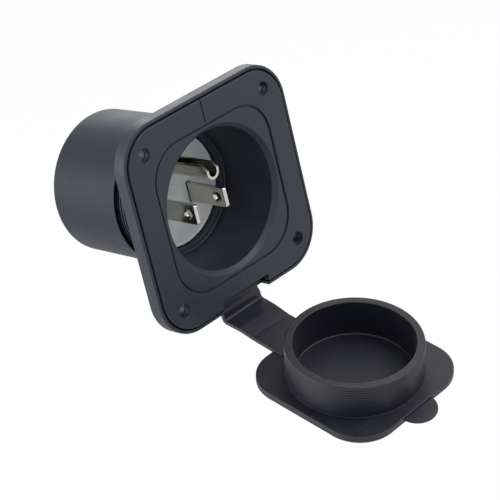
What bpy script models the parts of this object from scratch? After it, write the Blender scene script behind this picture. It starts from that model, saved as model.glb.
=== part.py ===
"""Flanged power inlet with a rubber cover: two blades and a ground pin in a round bore, a screw-on rear housing.

Metres, +Z up. The origin is on the bore's axis, on the back of the flange, where it lies on the panel.
The bore opens towards -Y, the rear housing stands behind the panel along +Y, and the cover hangs below.
"""

import math

import bmesh
import bpy
from mathutils import Matrix, Vector

# Clearances
SEAT_GAP = 0.0003  # between pieces that lie on each other
THREAD_GAP = 0.0002  # from the crest of a thread to the piece screwed over it
LID_GAP = 0.0003  # round the lid in its recess

# Flange
FLANGE_SIDE = 0.0675
FLANGE_CORNER = 0.0132
FLANGE_THICKNESS = 0.0049
RIM_EDGE_RADIUS = 0.0006
RIM_BACK_EDGE = 0.0003
RIM_STEP = 0.0004  # the frame's rim lies this far behind the face of the plate
RIM_WIDTH = 0.0010
GROOVE_WIDTH = 0.0005
PLATE_THICKNESS = 0.0022
PLATE_EDGE = 0.0003
SCREW_INSET = 0.0086  # from the flange's edge to the middle of a screw hole
SCREW_HOLE = 0.0045
SCREW_CHAMFER = 0.0004
RECESS_MARGIN = 0.0014  # from the mouth of the bore to the recess's wall
RECESS_CORNER = 0.0123
RECESS_DEPTH = 0.0006
INDEX_LINE_WIDTH = 0.0003
INDEX_LINE_DEPTH = 0.0004

# Barrel, bore and neck
BORE_MOUTH_RADIUS = 0.0217
BORE_FLOOR_RADIUS = 0.0203
MOUTH_CHAMFER = 0.0014
BORE_STRAIGHT_DRAFT = 0.00035  # over the depth that the lid's skirt enters
BORE_FLOOR_DRAFT = 0.0002  # over the rest, below the step to the floor's radius
BARREL_WALL = 0.0012
BARREL_LENGTH = 0.0075  # behind the panel, before the thread
THREAD_CREST_RADIUS = 0.02135
THREAD_DEPTH = 0.0004
THREAD_PITCH = 0.0010
THREAD_START = 0.0122
NECK_LENGTH = 0.0267
LEDGE_FRONT = 0.0157
LEDGE_THICKNESS = 0.0030
LEDGE_RADIUS = 0.0183
NECK_BORE_RADIUS = 0.0192

# Contact base and pins
BASE_FACE = 0.0177
BASE_REAR = 0.0240
BLADE_SPACING = 0.0127
BLADE_WIDTH = 0.00635
BLADE_THICKNESS = 0.0015
BLADE_TIP = 0.0012
BLADE_TIP_CHAMFER = 0.0009
BLADE_HOLE = 0.0032
BLADE_HOLE_FROM_TIP = 0.0036
BLADE_DROP = 0.0031  # the blades' middle line lies this far below the bore's axis
GROUND_RISE = 0.0119  # the ground pin's axis above the blades' middle line
GROUND_RADIUS = 0.0024
GROUND_SHEET = 0.0008
GROUND_TIP = -0.0028

# Terminals
BLOCK_CLEARANCE = 0.0006  # round the terminal block in the neck
BLOCK_REAR = 0.0380
POCKET_WIDTH = 0.0095
POCKET_LENGTH = 0.0100
TAIL_END = 0.0362
CLAMP_LENGTH = 0.0080
CLAMP_WIDTH = 0.0070
CLAMP_THICKNESS = 0.0012
WIRE_SPACE = 0.0014
TERMINAL_THREAD = 0.0035
TERMINAL_HEAD = 0.0062
TERMINAL_HEAD_HEIGHT = 0.0022
DRIVER_SLOT = 0.0008
BASE_SCREW_RADIUS = 0.0014
BASE_SCREW_HEAD_RADIUS = 0.0026
BASE_SCREW_HEAD_HEIGHT = 0.0018
BASE_SCREW_X = 0.0100
BASE_SCREW_Z = -0.0110

# Rear housing, seal and gland
HOUSING_FRONT = 0.0193
HOUSING_REAR = 0.0483
HOUSING_SKIN = 0.0012  # the housing's wall over the thread
HOUSING_DRAFT = 0.0003
HOUSING_EDGE = 0.0008
HOUSING_WALL = 0.0030
SEAL_THICKNESS = 0.0013
STUB_RADIUS = 0.0074
STUB_LENGTH = 0.0058
CABLE_HOLE_RADIUS = 0.0048
SEAL_SEAT_RADIUS = 0.0062
GLAND_SEAL_WALL = 0.0016
NUT_RADIUS = 0.0094
NUT_WALL = 0.0018
NUT_LENGTH = 0.0085
NUT_STAND_OFF = 0.0022
NUT_RIBS = 18
NUT_RIB_HEIGHT = 0.0004

# Rubber cover
LID_THICKNESS = 0.0024
LID_EDGE = 0.0005
SKIRT_BASE_RADIUS = 0.0209
SKIRT_RIM_RADIUS = 0.0206
SKIRT_HEIGHT = 0.0110
SKIRT_INNER_RADIUS = 0.0182
SKIRT_RIM_EDGE = 0.0006
SKIRT_STRAIGHT = 0.55  # share of the skirt's height before it narrows
LID_FLOOR_DEPTH = 0.0005
LID_FLOOR_FILLET = 0.0011
LID_OPEN_ANGLE = math.radians(107.1)  # from shut to the pose at rest
LID_SIDE_TILT = math.radians(2.7)  # the open lid hangs a little to one side
HINGE_GAP = 0.0007  # between the two halves of the strap at the hinge axis
HINGE_DEPTH = 0.0007  # the hinge axis in front of the plate's face
HINGE_BELOW_FLANGE = 0.00605  # the hinge axis below the flange's lower edge
STRAP_LEFT = -0.0093
STRAP_RIGHT = 0.0073
STRAP_THICKNESS = 0.0014
CREASE_FROM_LID = 0.0088
CREASE_DEPTH = 0.0005
CREASE_WIDTH = 0.0012
TAB_RADIUS = 0.0062
TAB_REACH = 0.0054
TAB_THICKNESS = 0.0014
ANCHOR_WIDTH = 0.0260
ANCHOR_MARGIN = 0.00205  # from the anchor's upper edge to the barrel
NOTCH_LEFT_MARGIN = 0.0025  # from the strap to each end of its notch
NOTCH_RIGHT_MARGIN = 0.0025
NOTCH_RISE = 0.00225  # how far the notch reaches into the plate
NOTCH_FLOOR = 0.0007
STRAP_BEND_RADIUS = 0.0008
STRAP_BEAD = 0.0003
STRAP_BEAD_DROP = 0.0022
STRAP_BEAD_WIDTH = 0.0024
STRAP_EDGE = 0.0002

ROUND = 64  # sides of the large round pieces
SMALL_ROUND = 20

# Places that follow from the sizes above
FACE = -FLANGE_THICKNESS
RECESS_FLOOR = FACE + RECESS_DEPTH
PLATE_BACK = FACE + PLATE_THICKNESS
FRAME_FLOOR = PLATE_BACK + SEAT_GAP
ANCHOR_FRONT = FRAME_FLOOR
ANCHOR_BACK = ANCHOR_FRONT + STRAP_THICKNESS
PLATE_HALF = FLANGE_SIDE / 2 - RIM_WIDTH - GROOVE_WIDTH
SCREW_FROM_AXIS = FLANGE_SIDE / 2 - SCREW_INSET
RECESS_HALF = BORE_MOUTH_RADIUS + MOUTH_CHAMFER + RECESS_MARGIN
PLATE_CORNER = FLANGE_CORNER - RIM_WIDTH - GROOVE_WIDTH / 2
THREAD_ROOT_RADIUS = THREAD_CREST_RADIUS - THREAD_DEPTH
HOUSING_RADIUS = THREAD_CREST_RADIUS + THREAD_GAP + HOUSING_SKIN
BLOCK_RADIUS = NECK_BORE_RADIUS - BLOCK_CLEARANCE
GROUND_Z = GROUND_RISE - BLADE_DROP
LID_SHUT_FACE = RECESS_FLOOR - LID_GAP
LID_HALF = RECESS_HALF - LID_GAP
LID_CORNER = RECESS_CORNER - LID_GAP
ANCHOR_LOW = -PLATE_HALF + 2 * GROOVE_WIDTH
ANCHOR_TOP = -BORE_MOUTH_RADIUS - BARREL_WALL - ANCHOR_MARGIN
NOTCH_LEFT = STRAP_LEFT - NOTCH_LEFT_MARGIN
NOTCH_RIGHT = STRAP_RIGHT + NOTCH_RIGHT_MARGIN
HINGE_AXIS = Vector((0, FACE - HINGE_DEPTH, -FLANGE_SIDE / 2 - HINGE_BELOW_FLANGE))


def clear_scene():
    for old in list(bpy.data.objects):
        bpy.data.objects.remove(old)


def make_material(name, colour, roughness, metallic=0.0):
    material = bpy.data.materials.new(name)
    material.use_nodes = True
    shader = material.node_tree.nodes["Principled BSDF"]
    shader.inputs["Base Color"].default_value = (*colour, 1)
    shader.inputs["Roughness"].default_value = roughness
    shader.inputs["Metallic"].default_value = metallic
    material.diffuse_color = (*colour, 1)
    return material


def object_from(name, bm, material=None, smooth=True):
    bmesh.ops.remove_doubles(bm, verts=bm.verts, dist=1e-7)
    bmesh.ops.recalc_face_normals(bm, faces=bm.faces)
    mesh = bpy.data.meshes.new(name)
    bm.to_mesh(mesh)
    bm.free()
    if smooth:
        mesh.shade_smooth()
        mesh.set_sharp_from_angle(angle=math.radians(35))
    if material:
        mesh.materials.append(material)
    obj = bpy.data.objects.new(name, mesh)
    bpy.context.scene.collection.objects.link(obj)
    return obj


def use_tool(target, tool, operation):
    """Cuts a tool from the target, or joins it to the target, and hides the tool."""
    tool.hide_render = True
    tool.display_type = "WIRE"
    boolean = target.modifiers.new(tool.name, "BOOLEAN")
    boolean.operation = operation
    boolean.solver = "EXACT"
    boolean.object = tool


def cut(target, tool):
    use_tool(target, tool, "DIFFERENCE")


def join(target, tool):
    use_tool(target, tool, "UNION")


def circle_point(radius, angle):
    return radius * math.cos(angle), radius * math.sin(angle)


def skin_rings(bm, rings, close=True):
    """Faces between rings of points that run round the Y axis, each ring a list of (radius, y)."""
    loops = []
    for ring in rings:
        loop = []
        for step, (radius, y) in enumerate(ring):
            x, z = circle_point(radius, math.tau * step / len(ring))
            loop.append(bm.verts.new((x, y, z)))
        loops.append(loop)
    pairs = list(zip(loops, loops[1:]))
    if close:
        pairs.append((loops[-1], loops[0]))
    for first, second in pairs:
        count = len(first)
        for step in range(count):
            after = (step + 1) % count
            bm.faces.new((first[step], first[after], second[after], second[step]))
    return loops


def turned(name, profile, material=None, sides=ROUND, solid=False):
    """A turned piece: the profile is a list of (radius, y). A solid piece gets flat ends instead of a bore."""
    bm = bmesh.new()
    loops = skin_rings(bm, [[point] * sides for point in profile], close=not solid)
    if solid:
        bm.faces.new(loops[0])
        bm.faces.new(loops[-1])
    return object_from(name, bm, material)


def arc_points(centre, radius, start, end, steps):
    """Points on an arc, angles in degrees from the radius direction towards +Y."""
    points = []
    for step in range(steps + 1):
        angle = math.radians(start + (end - start) * step / steps)
        points.append((centre[0] + radius * math.cos(angle), centre[1] + radius * math.sin(angle)))
    return points


def rounded_square(half, corner, steps=8):
    """A square outline with round corners, as (x, z)."""
    outline = []
    for turn, (sx, sz) in enumerate(((1, 1), (-1, 1), (-1, -1), (1, -1))):
        for step in range(steps + 1):
            angle = math.pi / 2 * (turn + step / steps)
            dx, dz = circle_point(corner, angle)
            outline.append((sx * (half - corner) + dx, sz * (half - corner) + dz))
    return outline


def lofted(name, sections, material=None):
    """A solid through outlines that have as many points each: sections are (outline, y)."""
    bm = bmesh.new()
    loops = [[bm.verts.new((x, y, z)) for x, z in outline] for outline, y in sections]
    for first, second in zip(loops, loops[1:]):
        for step in range(len(first)):
            after = (step + 1) % len(first)
            bm.faces.new((first[step], first[after], second[after], second[step]))
    bm.faces.new(loops[0])
    bm.faces.new(loops[-1])
    return object_from(name, bm, material)


def square_plate(name, half, corner, front, back, front_edge=0, back_edge=0, material=None):
    """A rounded square plate between two depths, with round or chamfered edges."""
    sections = []
    if front_edge:
        for angle in (90, 60, 30):
            inset = front_edge * (1 - math.cos(math.radians(angle)))
            depth = front_edge * (1 - math.sin(math.radians(angle)))
            sections.append((rounded_square(half - inset, corner - inset), front + depth))
    sections.append((rounded_square(half, corner), front + front_edge))
    sections.append((rounded_square(half, corner), back - back_edge))
    if back_edge:
        for angle in (30, 60, 90):
            inset = back_edge * (1 - math.cos(math.radians(angle)))
            depth = back_edge * (1 - math.sin(math.radians(angle)))
            sections.append((rounded_square(half - inset, corner - inset), back - depth))
    return lofted(name, sections, material)


def block(name, low, high, material=None, edge=0):
    bm = bmesh.new()
    bmesh.ops.create_cube(bm, size=1)
    size = [b - a for a, b in zip(low, high)]
    middle = [(a + b) / 2 for a, b in zip(low, high)]
    bmesh.ops.transform(bm, matrix=Matrix.LocRotScale(Vector(middle), None, Vector(size)), verts=bm.verts)
    if edge:
        bmesh.ops.bevel(bm, geom=bm.edges, offset=edge, segments=2, profile=0.5, affect="EDGES")
    return object_from(name, bm, material, smooth=False)


def rod(name, radius, start, end, material=None, sides=SMALL_ROUND, end_radius=None):
    """A round rod or cone between two points."""
    start, end = Vector(start), Vector(end)
    run = end - start
    bm = bmesh.new()
    bmesh.ops.create_cone(
        bm, cap_ends=True, segments=sides, radius1=radius, radius2=end_radius or radius, depth=run.length
    )
    turn = run.to_track_quat("Z", "Y").to_matrix().to_4x4()
    bmesh.ops.transform(bm, matrix=Matrix.Translation((start + end) / 2) @ turn, verts=bm.verts)
    return object_from(name, bm, material)


def extruded(name, outline, x_low, x_high, material=None, edge=0):
    """A solid with a (y, z) outline, run along X."""
    bm = bmesh.new()
    face = bm.faces.new([bm.verts.new((x_low, y, z)) for y, z in outline])
    grown = bmesh.ops.extrude_face_region(bm, geom=[face])
    moved = [item for item in grown["geom"] if isinstance(item, bmesh.types.BMVert)]
    bmesh.ops.translate(bm, vec=(x_high - x_low, 0, 0), verts=moved)
    if edge:
        bmesh.ops.recalc_face_normals(bm, faces=bm.faces)
        ends = [e for e in bm.edges if abs(e.verts[0].co.x - e.verts[1].co.x) < 1e-9]
        bmesh.ops.bevel(bm, geom=ends, offset=edge, segments=2, profile=0.5, affect="EDGES")
    return object_from(name, bm, material)


def screw_places():
    for side in (-1, 1):
        for level in (-1, 1):
            yield side * SCREW_FROM_AXIS, level * SCREW_FROM_AXIS


def cut_screw_holes(piece, front, chamfer):
    for number, (x, z) in enumerate(screw_places()):
        hole = rod(f"{piece.name}_hole_{number}", SCREW_HOLE / 2, (x, FACE * 2, z), (x, -FACE, z), sides=24)
        cut(piece, hole)
        if chamfer:
            wide = SCREW_HOLE / 2 + 2 * chamfer
            sink = rod(
                f"{piece.name}_sink_{number}", wide, (x, front - chamfer, z), (x, front + chamfer, z),
                sides=24, end_radius=SCREW_HOLE / 2,
            )
            cut(piece, sink)


def thread_rings(start, end):
    """Rings of a V thread: every second ring is a crest, and each climbs one pitch in a full turn."""
    rings = []
    rows = 2 * math.ceil((end - start) / THREAD_PITCH)
    for row in range(-2, rows + 1):
        ring = []
        for step in range(ROUND):
            y = start + THREAD_PITCH * (row / 2 + step / ROUND)
            inside = start + THREAD_PITCH / 4 < y < end - THREAD_PITCH / 4
            lift = THREAD_DEPTH if row % 2 and inside else 0
            ring.append((THREAD_ROOT_RADIUS + lift, min(max(y, start), end)))
        rings.append(ring)
    return rings


def make_inlet_body(material):
    """The outside is turned and joined to the plate, and the bore is then cut in one piece with its ledge."""
    barrel_radius = BORE_MOUTH_RADIUS + BARREL_WALL
    ring = lambda radius, y: [(radius, y)] * ROUND
    rings = [
        ring(barrel_radius, (FACE + PLATE_BACK) / 2),
        ring(barrel_radius, BARREL_LENGTH),
        ring(THREAD_ROOT_RADIUS, BARREL_LENGTH + BARREL_WALL),
    ]
    rings += thread_rings(THREAD_START, NECK_LENGTH - THREAD_DEPTH)
    rings += [ring(THREAD_ROOT_RADIUS - THREAD_DEPTH, NECK_LENGTH)]
    bm = bmesh.new()
    loops = skin_rings(bm, rings, close=False)
    bm.faces.new(loops[0])
    bm.faces.new(loops[-1])
    body = object_from("inlet_body", bm, material)
    join(body, square_plate("plate_shape", PLATE_HALF, PLATE_CORNER, FACE, PLATE_BACK, front_edge=PLATE_EDGE))
    recess = square_plate(
        "recess_shape", RECESS_HALF, RECESS_CORNER, FACE - PLATE_THICKNESS, RECESS_FLOOR
    )
    cut(body, recess)
    skirt_end = LID_SHUT_FACE + SKIRT_HEIGHT + 2 * LID_GAP
    narrow = skirt_end + 0.4 * (LEDGE_FRONT - skirt_end)
    ledge_rear = LEDGE_FRONT + LEDGE_THICKNESS
    bore = [
        (BORE_MOUTH_RADIUS + 2 * MOUTH_CHAMFER, RECESS_FLOOR - MOUTH_CHAMFER),
        (BORE_MOUTH_RADIUS, RECESS_FLOOR + MOUTH_CHAMFER),
        (BORE_MOUTH_RADIUS - BORE_STRAIGHT_DRAFT, skirt_end),
        (BORE_FLOOR_RADIUS + BORE_FLOOR_DRAFT, narrow),
        (BORE_FLOOR_RADIUS, LEDGE_FRONT),
        (LEDGE_RADIUS, LEDGE_FRONT),
        (LEDGE_RADIUS, ledge_rear),
        (NECK_BORE_RADIUS, ledge_rear),
        (NECK_BORE_RADIUS, NECK_LENGTH + LEDGE_THICKNESS),
    ]
    cut(body, turned("bore_shape", bore, solid=True))
    line_half = INDEX_LINE_WIDTH / 2
    line = block(
        "index_line",
        (-line_half, FACE - INDEX_LINE_DEPTH, RECESS_HALF - INDEX_LINE_DEPTH),
        (line_half, FACE + INDEX_LINE_DEPTH, FLANGE_SIDE / 2),
    )
    cut(body, line)
    notch = block(
        "plate_notch",
        (NOTCH_LEFT, FACE * 2, -FLANGE_SIDE),
        (NOTCH_RIGHT, 0, -PLATE_HALF + NOTCH_RISE),
    )
    cut(body, notch)
    cut_screw_holes(body, FACE, SCREW_CHAMFER)
    return body


def make_flange_frame(material):
    frame = square_plate(
        "flange_frame", FLANGE_SIDE / 2, FLANGE_CORNER, FACE + RIM_STEP, 0,
        front_edge=RIM_EDGE_RADIUS, back_edge=RIM_BACK_EDGE, material=material,
    )
    pocket = square_plate(
        "plate_pocket", PLATE_HALF + GROOVE_WIDTH, PLATE_CORNER + GROOVE_WIDTH / 2, FACE * 2, FRAME_FLOOR
    )
    cut(frame, pocket)
    barrel_hole = rod(
        "barrel_hole", BORE_MOUTH_RADIUS + BARREL_WALL + SEAT_GAP, (0, FACE * 2, 0), (0, -FACE, 0), sides=ROUND
    )
    cut(frame, barrel_hole)
    anchor_pocket = block(
        "anchor_pocket",
        (-ANCHOR_WIDTH / 2 - SEAT_GAP, FACE, -FLANGE_SIDE / 2 + RIM_WIDTH),
        (ANCHOR_WIDTH / 2 + SEAT_GAP, ANCHOR_BACK + SEAT_GAP, ANCHOR_TOP + SEAT_GAP),
    )
    cut(frame, anchor_pocket)
    notch = block(
        "strap_notch",
        (NOTCH_LEFT, FACE * 2, -FLANGE_SIDE),
        (NOTCH_RIGHT, -NOTCH_FLOOR, -PLATE_HALF),
    )
    cut(frame, notch)
    cut_screw_holes(frame, FACE, 0)
    return frame


def make_contact_base(material):
    shoulder = NECK_BORE_RADIUS - SEAT_GAP
    boss = LEDGE_RADIUS - SEAT_GAP
    step = LEDGE_FRONT + LEDGE_THICKNESS + SEAT_GAP
    base = turned(
        "contact_base", [(boss, BASE_FACE), (boss, step), (shoulder, step), (shoulder, BASE_REAR)],
        material, solid=True,
    )
    for side in (-1, 1):
        x = side * BLADE_SPACING / 2
        half_thick = BLADE_THICKNESS / 2 + SEAT_GAP
        half_wide = BLADE_WIDTH / 2 + SEAT_GAP
        slot = block(
            f"blade_slot_{side}",
            (x - half_thick, 0, -BLADE_DROP - half_wide), (x + half_thick, BLOCK_REAR, -BLADE_DROP + half_wide),
        )
        cut(base, slot)
    reach = GROUND_RADIUS + SEAT_GAP
    outline = [(-reach, reach + GROUND_Z)]
    for step in range(9):
        x, z = circle_point(reach, math.radians(180 + 180 * step / 8))
        outline.append((x, z + GROUND_Z))
    outline.append((reach, reach + GROUND_Z))
    cut(base, lofted("ground_hole", [(outline, 0), (outline, BLOCK_REAR)]))
    for side in (-1, 1):
        x = side * BASE_SCREW_X
        pilot = rod(
            f"base_pilot_{side}", BASE_SCREW_RADIUS + SEAT_GAP,
            (x, BASE_FACE + 0.0025, BASE_SCREW_Z), (x, BLOCK_REAR, BASE_SCREW_Z), sides=12,
        )
        cut(base, pilot)
    return base


def screw_level():
    """How far back the terminal screws lie."""
    return (BASE_REAR + BLOCK_REAR) / 2


def make_blade(name, side, material):
    x = side * BLADE_SPACING / 2
    half = BLADE_THICKNESS / 2
    top, bottom = BLADE_WIDTH / 2 - BLADE_DROP, -BLADE_WIDTH / 2 - BLADE_DROP
    blade = block(name, (x - half, BLADE_TIP, bottom), (x + half, TAIL_END, top), material)
    bm = bmesh.new()
    bm.from_mesh(blade.data)
    front = [e for e in bm.edges if all(abs(v.co.y - BLADE_TIP) < 1e-7 for v in e.verts)]
    bmesh.ops.bevel(bm, geom=front, offset=BLADE_TIP_CHAMFER / 2, segments=1, affect="EDGES")
    bm.to_mesh(blade.data)
    bm.free()
    across = Vector((BLADE_THICKNESS, 0, 0))
    for label, y, radius in (
        ("eye", BLADE_TIP + BLADE_HOLE_FROM_TIP, BLADE_HOLE / 2),
        ("tapping", screw_level(), TERMINAL_THREAD / 2 + SEAT_GAP),
    ):
        middle = Vector((x, y, -BLADE_DROP))
        cut(blade, rod(f"{name}_{label}", radius, middle - across, middle + across))
    return blade


def u_section(radius, sheet, steps=8):
    """A folded U as (x, z) round the pin's axis, open at the top."""
    outer = [circle_point(radius, math.radians(180 + 180 * s / steps)) for s in range(steps + 1)]
    inner = [circle_point(radius - sheet, math.radians(360 - 180 * s / steps)) for s in range(steps + 1)]
    return [(-radius, radius)] + outer + [(radius, radius), (radius - sheet, radius)] + inner + [
        (sheet - radius, radius)
    ]


def make_ground_pin(material):
    section = [(x, z + GROUND_Z) for x, z in u_section(GROUND_RADIUS, GROUND_SHEET)]
    pin = lofted("ground_pin", [(section, GROUND_TIP), (section, BASE_REAR + SEAT_GAP)], material)
    nose = extruded(
        "ground_nose",
        [
            (GROUND_TIP - GROUND_RADIUS, GROUND_Z - GROUND_RADIUS * 0.4),
            (GROUND_TIP + GROUND_RADIUS * 1.6, GROUND_Z + GROUND_RADIUS * 1.5),
            (GROUND_TIP - GROUND_RADIUS, GROUND_Z + GROUND_RADIUS * 1.5),
        ],
        -2 * GROUND_RADIUS, 2 * GROUND_RADIUS,
    )
    cut(pin, nose)
    tail = block(
        "ground_tail",
        (-CLAMP_WIDTH / 2, BASE_REAR + SEAT_GAP / 2, GROUND_Z - GROUND_RADIUS),
        (CLAMP_WIDTH / 2, TAIL_END, GROUND_Z - GROUND_RADIUS + BLADE_THICKNESS),
    )
    join(pin, tail)
    level = Vector((0, screw_level(), GROUND_Z))
    up = Vector((0, 0, 2 * GROUND_RADIUS))
    cut(pin, rod("ground_tapping", TERMINAL_THREAD / 2 + SEAT_GAP, level - up, level + up))
    return pin


TERMINALS = {
    "line": (Vector((1, 0, 0)), BLADE_SPACING / 2 + BLADE_THICKNESS / 2, -BLADE_DROP),
    "neutral": (Vector((-1, 0, 0)), BLADE_SPACING / 2 + BLADE_THICKNESS / 2, -BLADE_DROP),
    "ground": (Vector((0, 0, 1)), GROUND_Z - GROUND_RADIUS + BLADE_THICKNESS, 0),
}


def terminal_box(outward, near, far, half_width, half_length, offset):
    """Corners of a box that faces outwards at a terminal, from near to far along that direction."""
    middle_y = screw_level()
    if outward.x:
        low_x, high_x = sorted((outward.x * near, outward.x * far))
        return (low_x, middle_y - half_length, offset - half_width), (
            high_x, middle_y + half_length, offset + half_width
        )
    return (-half_width, middle_y - half_length, near), (half_width, middle_y + half_length, far)


def on_terminal(outward, distance, offset):
    place = outward * distance + Vector((0, screw_level(), 0))
    if outward.x:
        place.z = offset
    return place


def make_terminal_block(material):
    front = BASE_REAR + SEAT_GAP
    piece = turned(
        "terminal_block", [(BLOCK_RADIUS, front), (BLOCK_RADIUS, BLOCK_REAR)], material, solid=True
    )
    for name, (outward, tail, offset) in TERMINALS.items():
        half_width = POCKET_WIDTH / 2
        low, high = terminal_box(
            outward, tail - BLADE_THICKNESS - SEAT_GAP, BLOCK_RADIUS * 1.2, half_width, POCKET_LENGTH / 2, offset
        )
        cut(piece, block(f"{name}_pocket", low, high))
        start = on_terminal(outward, tail + WIRE_SPACE, offset)
        wire_way = rod(
            f"{name}_wire_way", WIRE_SPACE + TERMINAL_THREAD / 2, start, start + Vector((0, BLOCK_REAR, 0)),
            sides=12,
        )
        cut(piece, wire_way)
        inner = on_terminal(outward, tail - TERMINAL_THREAD * 1.6, offset)
        outer = on_terminal(outward, tail, offset)
        cut(piece, rod(f"{name}_clear", TERMINAL_THREAD / 2 + SEAT_GAP, inner, outer, sides=12))
    for side in (-1, 1):
        x = side * BLADE_SPACING / 2
        half_thick = BLADE_THICKNESS / 2 + SEAT_GAP
        half_wide = BLADE_WIDTH / 2 + SEAT_GAP
        slot = block(
            f"tail_slot_{side}",
            (x - half_thick, 0, -BLADE_DROP - half_wide),
            (x + half_thick, TAIL_END + SEAT_GAP, -BLADE_DROP + half_wide),
        )
        cut(piece, slot)
        x = side * BASE_SCREW_X
        seat = BLOCK_REAR - BASE_SCREW_HEAD_HEIGHT - SEAT_GAP
        shaft = rod(
            f"base_screw_way_{side}", BASE_SCREW_RADIUS + SEAT_GAP,
            (x, 0, BASE_SCREW_Z), (x, 2 * BLOCK_REAR, BASE_SCREW_Z), sides=12,
        )
        cut(piece, shaft)
        sunk = rod(
            f"base_screw_seat_{side}", BASE_SCREW_HEAD_RADIUS + SEAT_GAP,
            (x, seat, BASE_SCREW_Z), (x, 2 * BLOCK_REAR, BASE_SCREW_Z),
        )
        cut(piece, sunk)
    half_tail = CLAMP_WIDTH / 2 + SEAT_GAP
    low_z = GROUND_Z - GROUND_RADIUS - SEAT_GAP
    slot = block(
        "ground_tail_slot",
        (-half_tail, 0, low_z),
        (half_tail, TAIL_END + SEAT_GAP, low_z + BLADE_THICKNESS + 2 * SEAT_GAP),
    )
    cut(piece, slot)
    return piece


def make_terminal_hardware(materials):
    pieces = []
    for name, (outward, tail, offset) in TERMINALS.items():
        inner = tail + WIRE_SPACE
        outer = inner + CLAMP_THICKNESS
        low, high = terminal_box(outward, inner, outer, CLAMP_WIDTH / 2, CLAMP_LENGTH / 2, offset)
        clamp = block(f"{name}_clamp", low, high, materials["steel"], edge=CLAMP_THICKNESS / 6)
        way = rod(
            f"{name}_clamp_hole", TERMINAL_THREAD / 2 + SEAT_GAP,
            on_terminal(outward, inner - CLAMP_THICKNESS, offset),
            on_terminal(outward, outer + CLAMP_THICKNESS, offset), sides=16,
        )
        cut(clamp, way)
        seat = outer + SEAT_GAP
        screw = rod(
            f"{name}_screw", TERMINAL_THREAD / 2,
            on_terminal(outward, tail - TERMINAL_THREAD * 1.4, offset),
            on_terminal(outward, seat + TERMINAL_HEAD_HEIGHT / 2, offset), materials["brass"], sides=16,
        )
        head = rod(
            f"{name}_screw_head", TERMINAL_HEAD / 2, on_terminal(outward, seat, offset),
            on_terminal(outward, seat + TERMINAL_HEAD_HEIGHT, offset),
            end_radius=TERMINAL_HEAD / 2 - TERMINAL_HEAD_HEIGHT / 8,
        )
        join(screw, head)
        low, high = terminal_box(
            outward, seat + TERMINAL_HEAD_HEIGHT / 2, seat + 2 * TERMINAL_HEAD_HEIGHT,
            TERMINAL_HEAD, DRIVER_SLOT / 2, offset,
        )
        cut(screw, block(f"{name}_driver_slot", low, high))
        pieces += [clamp, screw]
    return pieces


def make_base_screws(material):
    pieces = []
    for name, side in (("base_screw_left", -1), ("base_screw_right", 1)):
        x = side * BASE_SCREW_X
        seat = BLOCK_REAR - BASE_SCREW_HEAD_HEIGHT
        screw = rod(
            name, BASE_SCREW_RADIUS, (x, BASE_FACE + 0.0032, BASE_SCREW_Z),
            (x, seat + BASE_SCREW_HEAD_HEIGHT / 2, BASE_SCREW_Z), material, sides=12,
        )
        head = rod(
            f"{name}_head", BASE_SCREW_HEAD_RADIUS, (x, seat, BASE_SCREW_Z), (x, BLOCK_REAR, BASE_SCREW_Z)
        )
        join(screw, head)
        reach, slot = BASE_SCREW_HEAD_RADIUS * 0.6, DRIVER_SLOT / 2
        for number, (wide, tall) in enumerate(((reach, slot), (slot, reach))):
            bit = block(
                f"{name}_cross_{number}",
                (x - wide, BLOCK_REAR - BASE_SCREW_HEAD_HEIGHT / 2, BASE_SCREW_Z - tall),
                (x + wide, BLOCK_REAR + BASE_SCREW_HEAD_HEIGHT, BASE_SCREW_Z + tall),
            )
            cut(screw, bit)
        pieces.append(screw)
    return pieces


def make_rear_housing(material):
    thread_radius = THREAD_CREST_RADIUS + THREAD_GAP
    rear_radius = HOUSING_RADIUS - HOUSING_DRAFT
    seal_seat = NECK_LENGTH + 2 * SEAT_GAP + SEAL_THICKNESS
    inner = rear_radius - HOUSING_WALL + SEAT_GAP
    rest = BLOCK_REAR + SEAT_GAP
    rear_wall = HOUSING_REAR - HOUSING_WALL
    edge_centre = (rear_radius - HOUSING_EDGE, HOUSING_REAR - HOUSING_EDGE)
    stub_end = HOUSING_REAR + STUB_LENGTH
    profile = [
        (thread_radius + THREAD_GAP, HOUSING_FRONT),
        (HOUSING_RADIUS - THREAD_GAP, HOUSING_FRONT),
        (HOUSING_RADIUS, HOUSING_FRONT + THREAD_GAP),
        *arc_points(edge_centre, HOUSING_EDGE, 0, 90, 5),
        (STUB_RADIUS + HOUSING_EDGE / 2, HOUSING_REAR),
        (STUB_RADIUS, HOUSING_REAR + HOUSING_EDGE / 2),
        (STUB_RADIUS, stub_end - THREAD_GAP),
        (STUB_RADIUS - THREAD_GAP, stub_end),
        (SEAL_SEAT_RADIUS, stub_end),
        (SEAL_SEAT_RADIUS, HOUSING_REAR),
        (CABLE_HOLE_RADIUS, HOUSING_REAR - HOUSING_WALL / 3),
        (CABLE_HOLE_RADIUS, rear_wall),
        (BLOCK_RADIUS - HOUSING_WALL / 2, rear_wall),
        (BLOCK_RADIUS - HOUSING_WALL / 2, rest),
        (inner, rest),
        (inner, seal_seat),
        (thread_radius, seal_seat),
        (thread_radius, HOUSING_FRONT + THREAD_GAP),
    ]
    return turned("rear_housing", profile, material)


def make_neck_seal(material):
    low = NECK_LENGTH + SEAT_GAP
    high = low + SEAL_THICKNESS
    inner = NECK_BORE_RADIUS + SEAT_GAP
    outer = THREAD_ROOT_RADIUS
    edge = SEAL_THICKNESS / 4
    profile = [
        (inner, low + edge), (inner + edge, low), (outer - edge, low), (outer, low + edge),
        (outer, high - edge), (outer - edge, high), (inner + edge, high), (inner, high - edge),
    ]
    return turned("neck_seal", list(reversed(profile)), material)


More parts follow.
